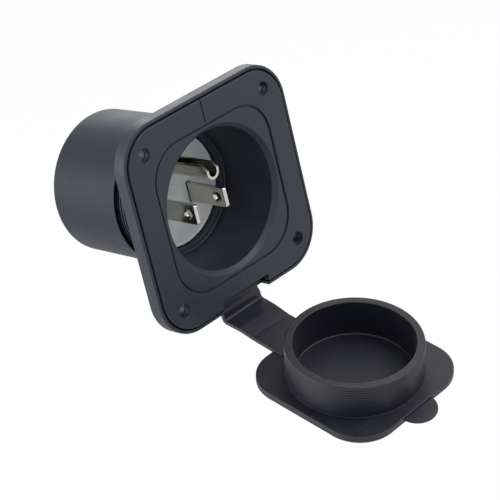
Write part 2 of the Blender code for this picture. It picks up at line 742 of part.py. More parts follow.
def make_gland(materials):
    stub_end = HOUSING_REAR + STUB_LENGTH
    seal_outer = SEAL_SEAT_RADIUS - SEAT_GAP
    seal_inner = seal_outer - GLAND_SEAL_WALL
    seal_front = HOUSING_REAR + SEAT_GAP
    seal_rear = stub_end + SEAT_GAP
    seal = turned(
        "gland_seal",
        [
            (seal_inner, seal_front), (seal_inner, seal_rear), (seal_outer - GLAND_SEAL_WALL / 4, seal_rear),
            (seal_outer, seal_rear - GLAND_SEAL_WALL / 4), (seal_outer, seal_front),
        ],
        materials["rubber"], sides=32,
    )
    nut_front = HOUSING_REAR + NUT_STAND_OFF
    nut_rear = nut_front + NUT_LENGTH
    inner = STUB_RADIUS + THREAD_GAP
    shoulder = seal_rear + SEAT_GAP
    edge = NUT_WALL / 3
    sides = 4 * NUT_RIBS

    def ribbed(radius, y, height):
        return [(radius + (height if step % 4 in (1, 2) else 0), y) for step in range(sides)]

    plain = lambda radius, y: [(radius, y)] * sides
    rings = [
        plain(inner, nut_front),
        ribbed(NUT_RADIUS - edge, nut_front, 0),
        ribbed(NUT_RADIUS - NUT_RIB_HEIGHT, nut_front + edge, NUT_RIB_HEIGHT),
        ribbed(NUT_RADIUS - NUT_RIB_HEIGHT, nut_rear - 2 * edge, NUT_RIB_HEIGHT),
        ribbed(NUT_RADIUS - 2 * edge, nut_rear, 0),
        plain(CABLE_HOLE_RADIUS + edge, nut_rear),
        plain(CABLE_HOLE_RADIUS, nut_rear - edge),
        plain(CABLE_HOLE_RADIUS, shoulder),
        plain(inner, shoulder),
    ]
    bm = bmesh.new()
    skin_rings(bm, rings)
    nut = object_from("gland_nut", bm, materials["housing"])
    return [seal, nut]


def make_cover_lid(material):
    """The lid is modelled shut, about the hinge axis, and its object turns to the pose at rest."""
    shift = Matrix.Translation(-HINGE_AXIS)
    opening = Matrix.Rotation(LID_OPEN_ANGLE, 4, "X")
    outward = opening @ Vector((0, 0, 1))
    turn = Matrix.Translation(HINGE_AXIS) @ Matrix.Rotation(LID_SIDE_TILT, 4, outward) @ opening
    outer_face = LID_SHUT_FACE - LID_THICKNESS
    lid = square_plate(
        "cover_lid", LID_HALF, LID_CORNER, outer_face, LID_SHUT_FACE,
        front_edge=LID_EDGE, back_edge=LID_EDGE / 2, material=material,
    )
    rim = LID_SHUT_FACE + SKIRT_HEIGHT
    foot = LID_SHUT_FACE - LID_THICKNESS / 2
    floor = LID_SHUT_FACE - LID_FLOOR_DEPTH
    band = LID_SHUT_FACE + SKIRT_HEIGHT * 0.22
    groove = LID_GAP
    outer_arc = arc_points(
        (SKIRT_RIM_RADIUS - SKIRT_RIM_EDGE, rim - SKIRT_RIM_EDGE), SKIRT_RIM_EDGE, 0, 90, 4
    )
    fillet_centre = (SKIRT_INNER_RADIUS - LID_FLOOR_FILLET, floor + LID_FLOOR_FILLET)
    inner_fillet = arc_points(fillet_centre, LID_FLOOR_FILLET, 0, -90, 4)
    skirt = turned(
        "skirt_shape",
        [
            (inner_fillet[-1][0], foot),
            (SKIRT_BASE_RADIUS, foot),
            (SKIRT_BASE_RADIUS, band - groove),
            (SKIRT_BASE_RADIUS - groove, band),
            (SKIRT_BASE_RADIUS - groove, LID_SHUT_FACE + SKIRT_HEIGHT * SKIRT_STRAIGHT),
            *outer_arc,
            (SKIRT_INNER_RADIUS + SKIRT_RIM_EDGE / 2, rim),
            (SKIRT_INNER_RADIUS, rim - SKIRT_RIM_EDGE / 2),
            *inner_fillet,
        ],
    )
    hollow = rod(
        "floor_shape", SKIRT_INNER_RADIUS - LID_FLOOR_FILLET, (0, floor, 0), (0, rim, 0), sides=ROUND
    )
    cut(lid, hollow)
    join(lid, skirt)
    half = STRAP_THICKNESS / 2
    over_plate = FACE - LID_GAP  # the strap's inner face where it crosses the plate
    crease_z = -LID_HALF - CREASE_FROM_LID
    half_crease = CREASE_WIDTH / 2
    outline = [
        (over_plate, -LID_HALF + LID_CORNER / 2),
        (over_plate, crease_z + half_crease),
        (over_plate - CREASE_DEPTH, crease_z + half_crease / 3),
        (over_plate - CREASE_DEPTH, crease_z - half_crease / 3),
        (over_plate, crease_z - half_crease),
    ]
    for step in range(9):
        y, z = circle_point(half, -math.pi * step / 8)
        outline.append((HINGE_AXIS.y + y, HINGE_AXIS.z + z))
    outline.append((over_plate - STRAP_THICKNESS, crease_z - half_crease))
    outline.append((over_plate - STRAP_THICKNESS, -LID_HALF + LID_CORNER / 2))
    strap = extruded("lid_strap", outline, STRAP_LEFT, STRAP_RIGHT, edge=STRAP_EDGE)
    join(lid, strap)
    tab_centre = LID_HALF + TAB_REACH - TAB_RADIUS
    tab_middle = outer_face + LID_EDGE / 2 + TAB_THICKNESS / 2
    tab = rod(
        "tab_shape", TAB_RADIUS, (0, tab_middle - TAB_THICKNESS / 2, tab_centre),
        (0, tab_middle + TAB_THICKNESS / 2, tab_centre), sides=40,
    )
    join(lid, tab)
    for piece in (lid, hollow, skirt, strap, tab):
        piece.data.transform(shift)
        piece.matrix_world = turn
    return lid


def offset_path(points, distance):
    """Points beside an open path in (y, z), to its left."""
    beside = []
    for number, (y, z) in enumerate(points):
        before = points[max(number - 1, 0)]
        after = points[min(number + 1, len(points) - 1)]
        run = Vector((after[0] - before[0], after[1] - before[1])).normalized()
        beside.append((y - run.y * distance, z + run.x * distance))
    return beside


def make_cover_anchor(material):
    """The part of the rubber cover that the plate clamps, and the strap down to the hinge axis."""
    away = math.pi / 2 + LID_OPEN_ANGLE  # the open lid's direction, from +Y towards +Z
    middle_y = (ANCHOR_FRONT + ANCHOR_BACK) / 2
    half = STRAP_THICKNESS / 2
    corner_z = HINGE_AXIS.z + (middle_y - HINGE_AXIS.y) * math.tan(away)
    bend = STRAP_BEND_RADIUS + half
    bend_angle = LID_OPEN_ANGLE - math.pi / 2
    swept = math.pi / 2 - bend_angle
    centre = (middle_y - bend, corner_z + bend * math.tan(swept / 2))
    bent = [
        (centre[0] + y, centre[1] + z) for y, z in (circle_point(bend, -swept * step / 8) for step in range(9))
    ]
    bead_z = -PLATE_HALF - STRAP_BEAD_DROP
    path = [(middle_y, -PLATE_HALF + RIM_WIDTH)]
    path += [(middle_y, bead_z + step * STRAP_BEAD_WIDTH / 2) for step in (1, 0, -1)]
    path += bent
    front = offset_path(path, -half)
    front[2] = (front[2][0] - STRAP_BEAD, front[2][1])
    back = offset_path(path, half)
    reach = half + HINGE_GAP
    spread = math.asin(half / reach)
    hollow = []
    for step in range(7):
        y, z = circle_point(reach, away - math.pi + spread * (1 - step / 3))
        hollow.append((HINGE_AXIS.y + y, HINGE_AXIS.z + z))
    outline = front + hollow + list(reversed(back))
    strap = extruded("strap_shape", outline, STRAP_LEFT, STRAP_RIGHT, edge=STRAP_EDGE)
    anchor = block(
        "cover_anchor",
        (-ANCHOR_WIDTH / 2, ANCHOR_FRONT, ANCHOR_LOW),
        (ANCHOR_WIDTH / 2, ANCHOR_BACK, ANCHOR_TOP), material,
    )
    join(anchor, strap)
    return anchor


def main():
    clear_scene()
    materials = {
        "body": make_material("charcoal_nylon", (0.055, 0.060, 0.072), 0.55),
        "housing": make_material("charcoal_housing", (0.062, 0.066, 0.076), 0.50),
        "base": make_material("pale_urea", (0.52, 0.58, 0.56), 0.45),
        "block": make_material("black_phenolic", (0.030, 0.030, 0.032), 0.50),
        "rubber": make_material("black_rubber", (0.022, 0.023, 0.026), 0.60),
        "brass": make_material("nickel_brass", (0.62, 0.58, 0.50), 0.25, 1.0),
        "steel": make_material("plated_steel", (0.60, 0.60, 0.60), 0.30, 1.0),
    }
    make_inlet_body(materials["body"])
    make_flange_frame(materials["body"])
    make_contact_base(materials["base"])
    make_blade("line_blade", 1, materials["brass"])
    make_blade("neutral_blade", -1, materials["brass"])
    make_ground_pin(materials["brass"])
    make_terminal_block(materials["block"])
    make_terminal_hardware(materials)
    make_base_screws(materials["steel"])
    make_rear_housing(materials["housing"])
    make_neck_seal(materials["rubber"])
    make_gland(materials)
    make_cover_anchor(materials["rubber"])
    make_cover_lid(materials["rubber"])


main()
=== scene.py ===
import math

import bmesh
import bpy
import numpy as np
from mathutils import Matrix, Vector


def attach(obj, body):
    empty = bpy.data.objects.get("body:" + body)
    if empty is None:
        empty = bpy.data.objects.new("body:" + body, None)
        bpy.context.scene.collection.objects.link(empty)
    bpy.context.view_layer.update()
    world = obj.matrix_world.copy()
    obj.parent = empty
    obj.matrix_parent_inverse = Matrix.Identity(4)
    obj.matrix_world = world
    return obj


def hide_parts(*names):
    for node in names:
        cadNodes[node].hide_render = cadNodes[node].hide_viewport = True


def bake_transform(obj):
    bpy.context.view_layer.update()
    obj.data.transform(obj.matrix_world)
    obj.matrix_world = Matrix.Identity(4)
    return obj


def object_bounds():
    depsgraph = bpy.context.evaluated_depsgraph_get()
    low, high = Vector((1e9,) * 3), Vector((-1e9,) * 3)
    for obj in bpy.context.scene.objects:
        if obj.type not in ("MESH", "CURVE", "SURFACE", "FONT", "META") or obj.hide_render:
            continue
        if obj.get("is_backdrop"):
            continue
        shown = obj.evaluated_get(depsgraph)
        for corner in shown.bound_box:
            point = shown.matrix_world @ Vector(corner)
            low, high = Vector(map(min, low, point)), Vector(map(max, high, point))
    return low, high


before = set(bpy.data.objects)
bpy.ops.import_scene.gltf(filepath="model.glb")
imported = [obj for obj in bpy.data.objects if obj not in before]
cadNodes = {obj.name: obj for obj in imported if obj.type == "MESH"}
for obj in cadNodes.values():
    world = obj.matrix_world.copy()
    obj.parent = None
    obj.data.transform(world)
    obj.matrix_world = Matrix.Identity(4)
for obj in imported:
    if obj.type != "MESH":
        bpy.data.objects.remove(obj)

# Recessed power inlet with its rubber cover open. Sizes in the dictionaries are millimetres in the frame's
# axes: x to the right as seen from the front, y back through the panel, z up, and zero on the bore's axis at
# the panel. Only the studio's sizes are metres.
mm = 0.001
ringPoints = 288  # points round every large ring
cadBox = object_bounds()
print("frame loaded with", len(cadNodes), "nodes")


# Shapes

def filletPath(corners, closed=True, step=15):
    # each corner is (across, depth, radius); the result has an arc in place of each corner
    path = []
    count = len(corners)
    for number, (across, depth, radius) in enumerate(corners):
        here = np.array([across, depth], float)
        if radius <= 0 or (not closed and number in (0, count - 1)):
            path.append(here)
            continue
        into = np.array(corners[number - 1][:2], float) - here
        out = np.array(corners[(number + 1) % count][:2], float) - here
        into, out = into / np.linalg.norm(into), out / np.linalg.norm(out)
        inside = math.acos(max(-1, min(1, float(into @ out))))
        if math.pi - inside < 0.02:
            path.append(here)
            continue
        centre = here + (into + out) / np.linalg.norm(into + out) * radius / math.sin(inside / 2)
        spoke = here + into * radius / math.tan(inside / 2) - centre
        side = math.copysign(1, -(into[0] * out[1] - into[1] * out[0]))
        sweep = math.pi - inside
        steps = max(2, math.ceil(math.degrees(sweep) / step))
        for tick in range(steps + 1):
            turn = side * sweep * tick / steps
            c, s = math.cos(turn), math.sin(turn)
            path.append(centre + np.array([c * spoke[0] - s * spoke[1], s * spoke[0] + c * spoke[1]]))
    return path


def circleRing(radius, depth, count=ringPoints):
    angle = np.arange(count) * math.tau / count
    return np.stack([radius * np.cos(angle), np.full(count, float(depth)), radius * np.sin(angle)], axis=1)


def squareRing(half, corner, depth, count=ringPoints):
    # a square with round corners, its points on the same rays as a circle's
    angle = np.arange(count) * math.tau / count
    across, up = np.cos(angle), np.sin(angle)
    major = np.maximum(abs(across), abs(up))
    minor = np.minimum(abs(across), abs(up))
    middle = half - corner
    both = middle * (major + minor)
    arc = both + np.sqrt(np.maximum(corner ** 2 - 2 * middle ** 2 + both ** 2, 0))
    reach = np.where(half * minor / major <= middle, half / major, arc)
    return np.stack([reach * across, np.full(count, float(depth)), reach * up], axis=1)


def circleRings(path):
    return [circleRing(across, depth) for across, depth in path]


def squareRings(path, half, corner):
    return [squareRing(across, corner - (half - across), depth) for across, depth in path]


def meshObject(name, points, faces, material=None):
    mesh = bpy.data.meshes.new(name)
    mesh.from_pydata([tuple(point) for point in np.asarray(points, float) * mm], [], faces)
    shape = bmesh.new()
    shape.from_mesh(mesh)
    bmesh.ops.remove_doubles(shape, verts=shape.verts, dist=1e-8)
    bmesh.ops.recalc_face_normals(shape, faces=shape.faces)
    shape.to_mesh(mesh)
    shape.free()
    if material:
        mesh.materials.append(material)
    piece = bpy.data.objects.new(name, mesh)
    bpy.context.scene.collection.objects.link(piece)
    return piece


def skinRings(name, rings, material=None, poles=False):
    # faces between neighbouring rings; the last joins the first, or both ends close on a pole
    rings = np.array(rings)
    rows, count = rings.shape[:2]
    points = rings.reshape(-1, 3)
    faces = []
    for row in range(rows - 1 if poles else rows):
        below, above = row * count, (row + 1) % rows * count
        for spot in range(count):
            after = (spot + 1) % count
            faces.append((below + spot, below + after, above + after, above + spot))
    if poles:
        points = np.vstack([points, rings[0].mean(axis=0), rings[-1].mean(axis=0)])
        top = (rows - 1) * count
        for spot in range(count):
            after = (spot + 1) % count
            faces.append((spot, rows * count, after))
            faces.append((top + spot, top + after, rows * count + 1))
    return meshObject(name, points, faces, material)


def boxObject(name, low, high, material=None, edge=0, segments=2):
    shape = bmesh.new()
    bmesh.ops.create_cube(shape, size=1)
    size = Vector([b - a for a, b in zip(low, high)]) * mm
    middle = Vector([(a + b) / 2 for a, b in zip(low, high)]) * mm
    bmesh.ops.transform(shape, matrix=Matrix.LocRotScale(middle, None, size), verts=shape.verts)
    if edge:
        bmesh.ops.bevel(
            shape, geom=shape.edges, offset=edge * mm, segments=segments, profile=0.5, affect="EDGES"
        )
    mesh = bpy.data.meshes.new(name)
    shape.to_mesh(mesh)
    shape.free()
    if material:
        mesh.materials.append(material)
    piece = bpy.data.objects.new(name, mesh)
    bpy.context.scene.collection.objects.link(piece)
    return piece


def turnedTool(name, path, place, sides=64, axis="y"):
    # a solid turned about a line through place, for cutting: path is (radius, distance along the line)
    rings = [circleRing(radius, along, sides) for radius, along in path]
    piece = skinRings(name, rings, poles=True)
    turn = Matrix.Rotation(-math.pi / 2, 4, "Z") if axis == "x" else Matrix.Identity(4)
    piece.data.transform(Matrix.Translation(Vector(place) * mm) @ turn)
    return piece


def bake(piece):
    # the evaluated shape becomes a plain mesh and the modifiers go
    graph = bpy.context.evaluated_depsgraph_get()
    mesh = bpy.data.meshes.new_from_object(piece.evaluated_get(graph))
    piece.modifiers.clear()
    old = piece.data
    piece.data = mesh
    bpy.data.meshes.remove(old)
    mesh.name = piece.name
    return piece


def shapeWith(piece, tools, operation="DIFFERENCE"):
    for tool in tools:
        step = piece.modifiers.new(tool.name, "BOOLEAN")
        step.operation, step.solver, step.object = operation, "EXACT", tool
    bake(piece)
    for tool in tools:
        bpy.data.objects.remove(tool)
    return piece


def finishShape(piece, sharp=40, edge=0):
    # flats stay flat next to their round edges
    if edge:
        soft = piece.modifiers.new("edge", "BEVEL")
        soft.width, soft.segments, soft.limit_method = edge * mm, 3, "ANGLE"
        soft.angle_limit = math.radians(sharp)
        bake(piece)
    piece.data.shade_smooth()
    piece.data.set_sharp_from_angle(angle=math.radians(sharp))
    even = piece.modifiers.new("even", "WEIGHTED_NORMAL")
    even.keep_sharp, even.weight = True, 80
    return bake(piece)


def placePiece(piece, body, slot, *nodes):
    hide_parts(*nodes)
    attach(piece, body)


# Nodes and colours

noiseRange = {"From Min": 0.3, "From Max": 0.7}  # where most of a noise's values lie


def linear(code):
    parts = [int(code[start:start + 2], 16) / 255 for start in (1, 3, 5)]
    return [part / 12.92 if part <= 0.04045 else ((part + 0.055) / 1.055) ** 2.4 for part in parts] + [1]


def addNode(tree, kind, settings, inputs):
    node = tree.nodes.new(kind)
    for key, value in settings.items():
        setattr(node, key, value)
    for key, value in inputs.items():
        if isinstance(value, bpy.types.NodeSocket):
            tree.links.new(value, node.inputs[key])
        else:
            node.inputs[key].default_value = value
    return node


def newMaterial(name):
    material = bpy.data.materials.new(name)
    material.use_nodes = True
    return material, material.node_tree, material.node_tree.nodes["Principled BSDF"]


def mouldedMaterial(name, values):
    # an eroded tool face gives the grain, the flow of the melt the slow clouds, handling the dull patches
    material, tree, shader = newMaterial(name)
    place = addNode(tree, "ShaderNodeTexCoord", {}, {}).outputs["Object"]
    grain = addNode(tree, "ShaderNodeTexNoise", {}, {
        "Vector": place, "Scale": 1000 / values["grain"], "Detail": 3, "Roughness": 0.6,
    }).outputs["Fac"]
    cloud = addNode(tree, "ShaderNodeTexNoise", {}, {
        "Vector": place, "Scale": 1000 / values["cloud"], "Detail": 4, "Roughness": 0.55, "Distortion": 0.6,
    }).outputs["Fac"]
    speck = addNode(tree, "ShaderNodeTexVoronoi", {}, {
        "Vector": place, "Scale": 1000 / values["speck"], "Randomness": 1,
    }).outputs["Distance"]
    shade = addNode(tree, "ShaderNodeMapRange", {}, {"Value": cloud, **noiseRange}).outputs["Result"]
    body = addNode(tree, "ShaderNodeMix", {"data_type": "RGBA"}, {
        0: shade, 6: linear(values["dark"]), 7: linear(values["light"]),
    }).outputs[2]
    dots = addNode(tree, "ShaderNodeMapRange", {}, {
        "Value": speck, "From Min": 0.05, "From Max": 0.22, "To Min": values["dust"], "To Max": 0,
    }).outputs["Result"]
    colour = addNode(tree, "ShaderNodeMix", {"data_type": "RGBA"}, {
        0: dots, 6: body, 7: linear(values["dustColour"]),
    }).outputs[2]
    patchy = addNode(tree, "ShaderNodeMapRange", {}, {
        "Value": cloud, **noiseRange, "To Min": values["smooth"], "To Max": values["rough"],
    }).outputs["Result"]
    fine = addNode(tree, "ShaderNodeMapRange", {}, {
        "Value": grain, **noiseRange, "To Min": -0.05, "To Max": 0.05,
    }).outputs["Result"]
    roughness = addNode(tree, "ShaderNodeMath", {"operation": "ADD"}, {0: patchy, 1: fine}).outputs[0]
    tree.links.new(colour, shader.inputs["Base Color"])
    tree.links.new(roughness, shader.inputs["Roughness"])
    shader.inputs["IOR"].default_value = values["ior"]
    shader.inputs["Specular IOR Level"].default_value = values.get("specular", 0.5)
    shader.inputs["Sheen Weight"].default_value = values.get("sheen", 0)
    shader.inputs["Sheen Roughness"].default_value = 0.4
    bump = addNode(tree, "ShaderNodeBump", {}, {
        "Height": grain, "Distance": values["depth"] * mm, "Strength": 1,
    })
    tree.links.new(bump.outputs["Normal"], shader.inputs["Normal"])
    return material


def metalMaterial(name, values):
    # drawn and plated sheet: faint lines along the blade and slow stains
    material, tree, shader = newMaterial(name)
    place = addNode(tree, "ShaderNodeTexCoord", {}, {}).outputs["Object"]
    along = addNode(tree, "ShaderNodeMapping", {}, {
        "Vector": place, "Scale": [1000 / values["line"], 1000 / values["lineLength"], 1000 / values["line"]],
    }).outputs["Vector"]
    lines = addNode(tree, "ShaderNodeTexNoise", {}, {"Vector": along, "Scale": 1, "Detail": 3}).outputs["Fac"]
    stain = addNode(tree, "ShaderNodeTexNoise", {}, {
        "Vector": place, "Scale": 1000 / values["stain"], "Detail": 5, "Distortion": 0.4,
    }).outputs["Fac"]
    shade = addNode(tree, "ShaderNodeMapRange", {}, {"Value": stain, **noiseRange}).outputs["Result"]
    colour = addNode(tree, "ShaderNodeMix", {"data_type": "RGBA"}, {
        0: shade, 6: linear(values["dark"]), 7: linear(values["light"]),
    }).outputs[2]
    patchy = addNode(tree, "ShaderNodeMapRange", {}, {
        "Value": stain, **noiseRange, "To Min": values["smooth"], "To Max": values["rough"],
    }).outputs["Result"]
    fine = addNode(tree, "ShaderNodeMapRange", {}, {
        "Value": lines, **noiseRange, "To Min": -0.06, "To Max": 0.08,
    }).outputs["Result"]
    roughness = addNode(tree, "ShaderNodeMath", {"operation": "ADD"}, {0: patchy, 1: fine}).outputs[0]
    tree.links.new(colour, shader.inputs["Base Color"])
    tree.links.new(roughness, shader.inputs["Roughness"])
    shader.inputs["Metallic"].default_value = 1
    bump = addNode(tree, "ShaderNodeBump", {}, {
        "Height": lines, "Distance": values["depth"] * mm, "Strength": 1,
    })
    tree.links.new(bump.outputs["Normal"], shader.inputs["Normal"])
    return material


# Glass-filled nylon, moulded in an eroded tool: a dry satin face with a fine grain that breaks up highlights.
# The real grain is about 0.1 mm and is drawn at 0.35 mm, so that it shows in the render.
glassFilledNylon = mouldedMaterial("glassFilledNylonEroded", {
    "dark": "#1f232f", "light": "#252a39", "dust": 0.10, "dustColour": "#4a4f5c",
    "grain": 0.35, "cloud": 9, "speck": 1.1, "smooth": 0.46, "rough": 0.56, "depth": 0.02, "ior": 1.53,
    "specular": 0.45,
})
# The same nylon from a smoother tool: the housing takes a broader, cleaner highlight than the flange. Its
# colours are painted darker than the flange's, as painted shade that offsets the lamps' highlights on the
# housing.
housingNylonPaintedDarker = mouldedMaterial("glassFilledNylonSmoothShadedDark", {
    "dark": "#0f1627", "light": "#141c2e", "dust": 0.06, "dustColour": "#333a4a",
    "grain": 0.45, "cloud": 14, "speck": 1.4, "smooth": 0.5, "rough": 0.6, "depth": 0.012, "ior": 1.53,
    "specular": 0.38,
})
# Weatherproof rubber, compression moulded: deep black with a soft bloom and low, wide highlights.
coverRubber = mouldedMaterial("blackRubberMoulded", {
    "dark": "#0b0d1a", "light": "#111422", "dust": 0.10, "dustColour": "#2b2f3a",
    "grain": 0.5, "cloud": 6, "speck": 0.9, "smooth": 0.42, "rough": 0.52, "depth": 0.014, "ior": 1.5,
    "specular": 0.53, "sheen": 0.03,
})
# Urea resin, pressed: pale grey with a green cast and a faint mottle of the filler.
paleUrea = mouldedMaterial("ureaResinPressed", {
    "dark": "#dbe3e3", "light": "#e7eeee", "dust": 0.18, "dustColour": "#c4cbc9",
    "grain": 0.4, "cloud": 3.5, "speck": 0.8, "smooth": 0.38, "rough": 0.5, "depth": 0.006, "ior": 1.55,
})
# Wood-filled phenolic, pressed: near black with brown flecks of the filler.
blackPhenolic = mouldedMaterial("phenolicResinPressed", {
    "dark": "#1b1a1a", "light": "#242221", "dust": 0.35, "dustColour": "#3a322b",
    "grain": 0.3, "cloud": 4, "speck": 0.5, "smooth": 0.38, "rough": 0.5, "depth": 0.01, "ior": 1.6,
})
# Brass sheet, nickel plated over the drawn surface: a warm grey with faint lines along each blade.
nickelBrass = metalMaterial("nickelPlatedBrassDrawn", {
    "dark": "#c2beb5", "light": "#ccc8bf", "line": 0.12, "lineLength": 5, "stain": 2.5,
    "smooth": 0.14, "rough": 0.21, "depth": 0.001,
})
# Steel, zinc plated in a barrel: a cool grey with a soft mottle.
zincSteel = metalMaterial("zincPlatedSteelBarrel", {
    "dark": "#9fa2a4", "light": "#bfc2c4", "line": 0.3, "lineLength": 0.6, "stain": 1.2,
    "smooth": 0.28, "rough": 0.42, "depth": 0.003,
})
print("materials made")


# Inlet body: plate, recess, bore, barrel and neck in one moulding

inletBody = {
    "plateHalf": 32.25, "plateCorner": 11.95, "face": -4.9, "plateBack": -2.7, "plateEdge": 0.5,
    "recessHalf": 24.5, "recessCorner": 12.3, "recessDepth": 0.25, "recessLine": 0.72, "recessLineDepth": 0.5,
    "boreMouth": 21.7, "mouthChamfer": 1.4, "boreTaper": 20.25, "taperEnd": 10.8, "boreFloor": 20.05,
    "ledgeFront": 15.7, "ledgeRear": 18.7, "ledgeRadius": 18.3,
    "neckBore": 19.2, "neckEnd": 26.7, "neckRadius": 20.55,
    "barrelRadius": 22.9, "barrelEnd": 7.5, "coneEnd": 10.4,
    "screwSpacing": 50.3, "screwHole": 2.15, "screwFlare": 2.35, "screwFlareDepth": 0.15,
    "markWidth": 0.4, "markDepth": 0.5, "markFrom": 25.1,
    "notchLeft": -10.3, "notchRight": 9.8, "notchTop": -29.9,
}


def screwTools(prefix, front, back, values):
    # one cutter for each corner screw: a straight hole with a soft flare at the front face
    tools = []
    hole, flare, deep = values["screwHole"], values["screwFlare"], values["screwFlareDepth"]
    path = filletPath([
        (flare + 1.2, front - 1.5, 0), (flare, front, 0.25), (hole, front + deep, 0.3), (hole, back, 0),
    ], closed=False)
    for number, (side, level) in enumerate(((-1, -1), (-1, 1), (1, -1), (1, 1))):
        place = (side * values["screwSpacing"] / 2, 0, level * values["screwSpacing"] / 2)
        tools.append(turnedTool(f"{prefix}Hole{number}", path, place))
    return tools


def makeInletBody(values):
    floor = values["face"] + values["recessDepth"]
    half, corner = values["recessHalf"], values["recessCorner"]
    # a shallow line runs round the foot of the recess wall
    line, deep = values["recessLine"], floor + values["recessLineDepth"]
    recess = filletPath([
        (half - 1.2, floor, 0), (half - line, floor, 0.12), (half - line + 0.1, deep, 0.1),
        (half - 0.1, deep, 0.1), (half, values["face"], 0.2), (half + 1.5, values["face"], 0),
    ], closed=False)
    plate, back = values["plateHalf"], values["plateBack"]
    edge = filletPath([
        (plate - 2, values["face"], 0), (plate, values["face"], values["plateEdge"]),
        (plate, back, 0.1), (plate - 2, back, 0),
    ], closed=False)
    neck, neckEnd = values["neckRadius"], values["neckEnd"]
    barrel = filletPath([
        (values["barrelRadius"] + 1.5, back, 0), (values["barrelRadius"], back, 0.25),
        (values["barrelRadius"], values["barrelEnd"], 0.3), (neck, values["coneEnd"], 0.3),
        (neck, neckEnd - 0.5, 0), (neck - 0.5, neckEnd, 0),
        (values["neckBore"], neckEnd, 0.2), (values["neckBore"], values["ledgeRear"], 0.1),
        (values["ledgeRadius"], values["ledgeRear"], 0.15),
        (values["ledgeRadius"], values["ledgeFront"], 0.3), (values["boreFloor"], values["ledgeFront"], 0.5),
        (values["boreTaper"], values["taperEnd"], 50),  # a wide bend, so that the taper eases into the bore
        (values["boreMouth"], floor + values["mouthChamfer"], 0.7),
        (values["boreMouth"] + values["mouthChamfer"], floor, 0.5), (half - 0.9, floor, 0),
    ], closed=False, step=12)
    rings = squareRings(recess, half, corner)
    rings += squareRings(edge, plate, values["plateCorner"])
    rings += circleRings(barrel[:-1])
    piece = skinRings("inletBodyMoulding", rings, glassFilledNylon)
    notch = boxObject(
        "strapNotch", (values["notchLeft"], -9, -40), (values["notchRight"], -1.2, values["notchTop"]),
        edge=0.1,
    )
    mark = boxObject(
        "indexMark", (-values["markWidth"] / 2, values["face"] - 1, values["markFrom"]),
        (values["markWidth"] / 2, values["face"] + values["markDepth"], plate + 1),
    )
    shapeWith(piece, screwTools("inletBody", values["face"], 1, values) + [mark, notch])
    return finishShape(piece)


body = makeInletBody(inletBody)
placePiece(body, "inlet", "charcoal_nylon", "inlet_body")
print("inlet body made")


# Neck thread: a ridge swept along a spiral, by Geometry Nodes

neckThread = {
    "radius": 20.94, "depth": 0.8, "foot": 0.56, "crest": 0.4, "pitch": 1.1, "start": 12.2, "end": 26.2,
    "outward": -math.pi / 2,  # turns the ridge's crest away from the neck
}


def newTree(name, sockets):
    tree = bpy.data.node_groups.new(name, "GeometryNodeTree")
    tree.interface.new_socket("Geometry", in_out="INPUT", socket_type="NodeSocketGeometry")
    for label, kind in sockets:
        tree.interface.new_socket(label, in_out="INPUT", socket_type=kind)
    tree.interface.new_socket("Geometry", in_out="OUTPUT", socket_type="NodeSocketGeometry")
    return tree, tree.nodes.new("NodeGroupInput"), tree.nodes.new("NodeGroupOutput")


def runTree(piece, tree, values):
    # inputs are set by identifier before the first evaluation, then the result becomes a plain mesh
    step = piece.modifiers.new(tree.name, "NODES")
    step.node_group = tree
    for item in tree.interface.items_tree:
        if item.in_out == "INPUT" and item.name in values:
            step[item.identifier] = values[item.name]
    return bake(piece)


def threadTree():
    tree, given, result = newTree("neckThreadTree", [
        ("Radius", "NodeSocketFloat"), ("Depth", "NodeSocketFloat"), ("Turns", "NodeSocketFloat"),
        ("Length", "NodeSocketFloat"), ("Foot", "NodeSocketFloat"), ("Crest", "NodeSocketFloat"),
        ("Outward", "NodeSocketFloat"), ("Start", "NodeSocketFloat"), ("Material", "NodeSocketMaterial"),
    ])
    path = addNode(tree, "GeometryNodeCurveSpiral", {}, {
        "Resolution": 144, "Rotations": given.outputs["Turns"], "Start Radius": given.outputs["Radius"],
        "End Radius": given.outputs["Radius"], "Height": given.outputs["Length"],
    })
    upright = addNode(tree, "GeometryNodeSetCurveNormal", {"mode": "Z_UP"}, {"Curve": path.outputs[0]})
    # the ridge fades in and out over the first and last few degrees
    share = addNode(tree, "GeometryNodeSplineParameter", {}, {}).outputs["Factor"]
    fromEnd = addNode(tree, "ShaderNodeMath", {"operation": "PINGPONG"}, {0: share, 1: 0.5}).outputs[0]
    fade = addNode(tree, "ShaderNodeMapRange", {}, {
        "Value": fromEnd, "From Min": 0, "From Max": 0.012, "To Min": 0.05, "To Max": 1,
    }).outputs["Result"]
    ridge = addNode(tree, "GeometryNodeCurvePrimitiveQuadrilateral", {"mode": "TRAPEZOID"}, {
        "Height": given.outputs["Depth"], "Bottom Width": given.outputs["Foot"],
        "Top Width": given.outputs["Crest"], "Offset": 0,
    })
    lean = addNode(tree, "ShaderNodeCombineXYZ", {}, {"Z": given.outputs["Outward"]})
    turned = addNode(tree, "GeometryNodeTransform", {}, {
        "Geometry": ridge.outputs[0], "Rotation": lean.outputs[0],
    })
    swept = addNode(tree, "GeometryNodeCurveToMesh", {}, {
        "Curve": upright.outputs[0], "Profile Curve": turned.outputs[0], "Scale": fade, "Fill Caps": True,
    })
    lie = addNode(tree, "ShaderNodeCombineXYZ", {}, {"Y": given.outputs["Start"]})
    moved = addNode(tree, "GeometryNodeTransform", {}, {
        "Geometry": swept.outputs[0], "Translation": lie.outputs[0], "Rotation": (-math.pi / 2, 0, 0),
    })
    real = addNode(tree, "GeometryNodeRealizeInstances", {}, {"Geometry": moved.outputs[0]})
    painted = addNode(tree, "GeometryNodeSetMaterial", {}, {
        "Geometry": real.outputs[0], "Material": given.outputs["Material"],
    })
    tree.links.new(painted.outputs[0], result.inputs[0])
    return tree


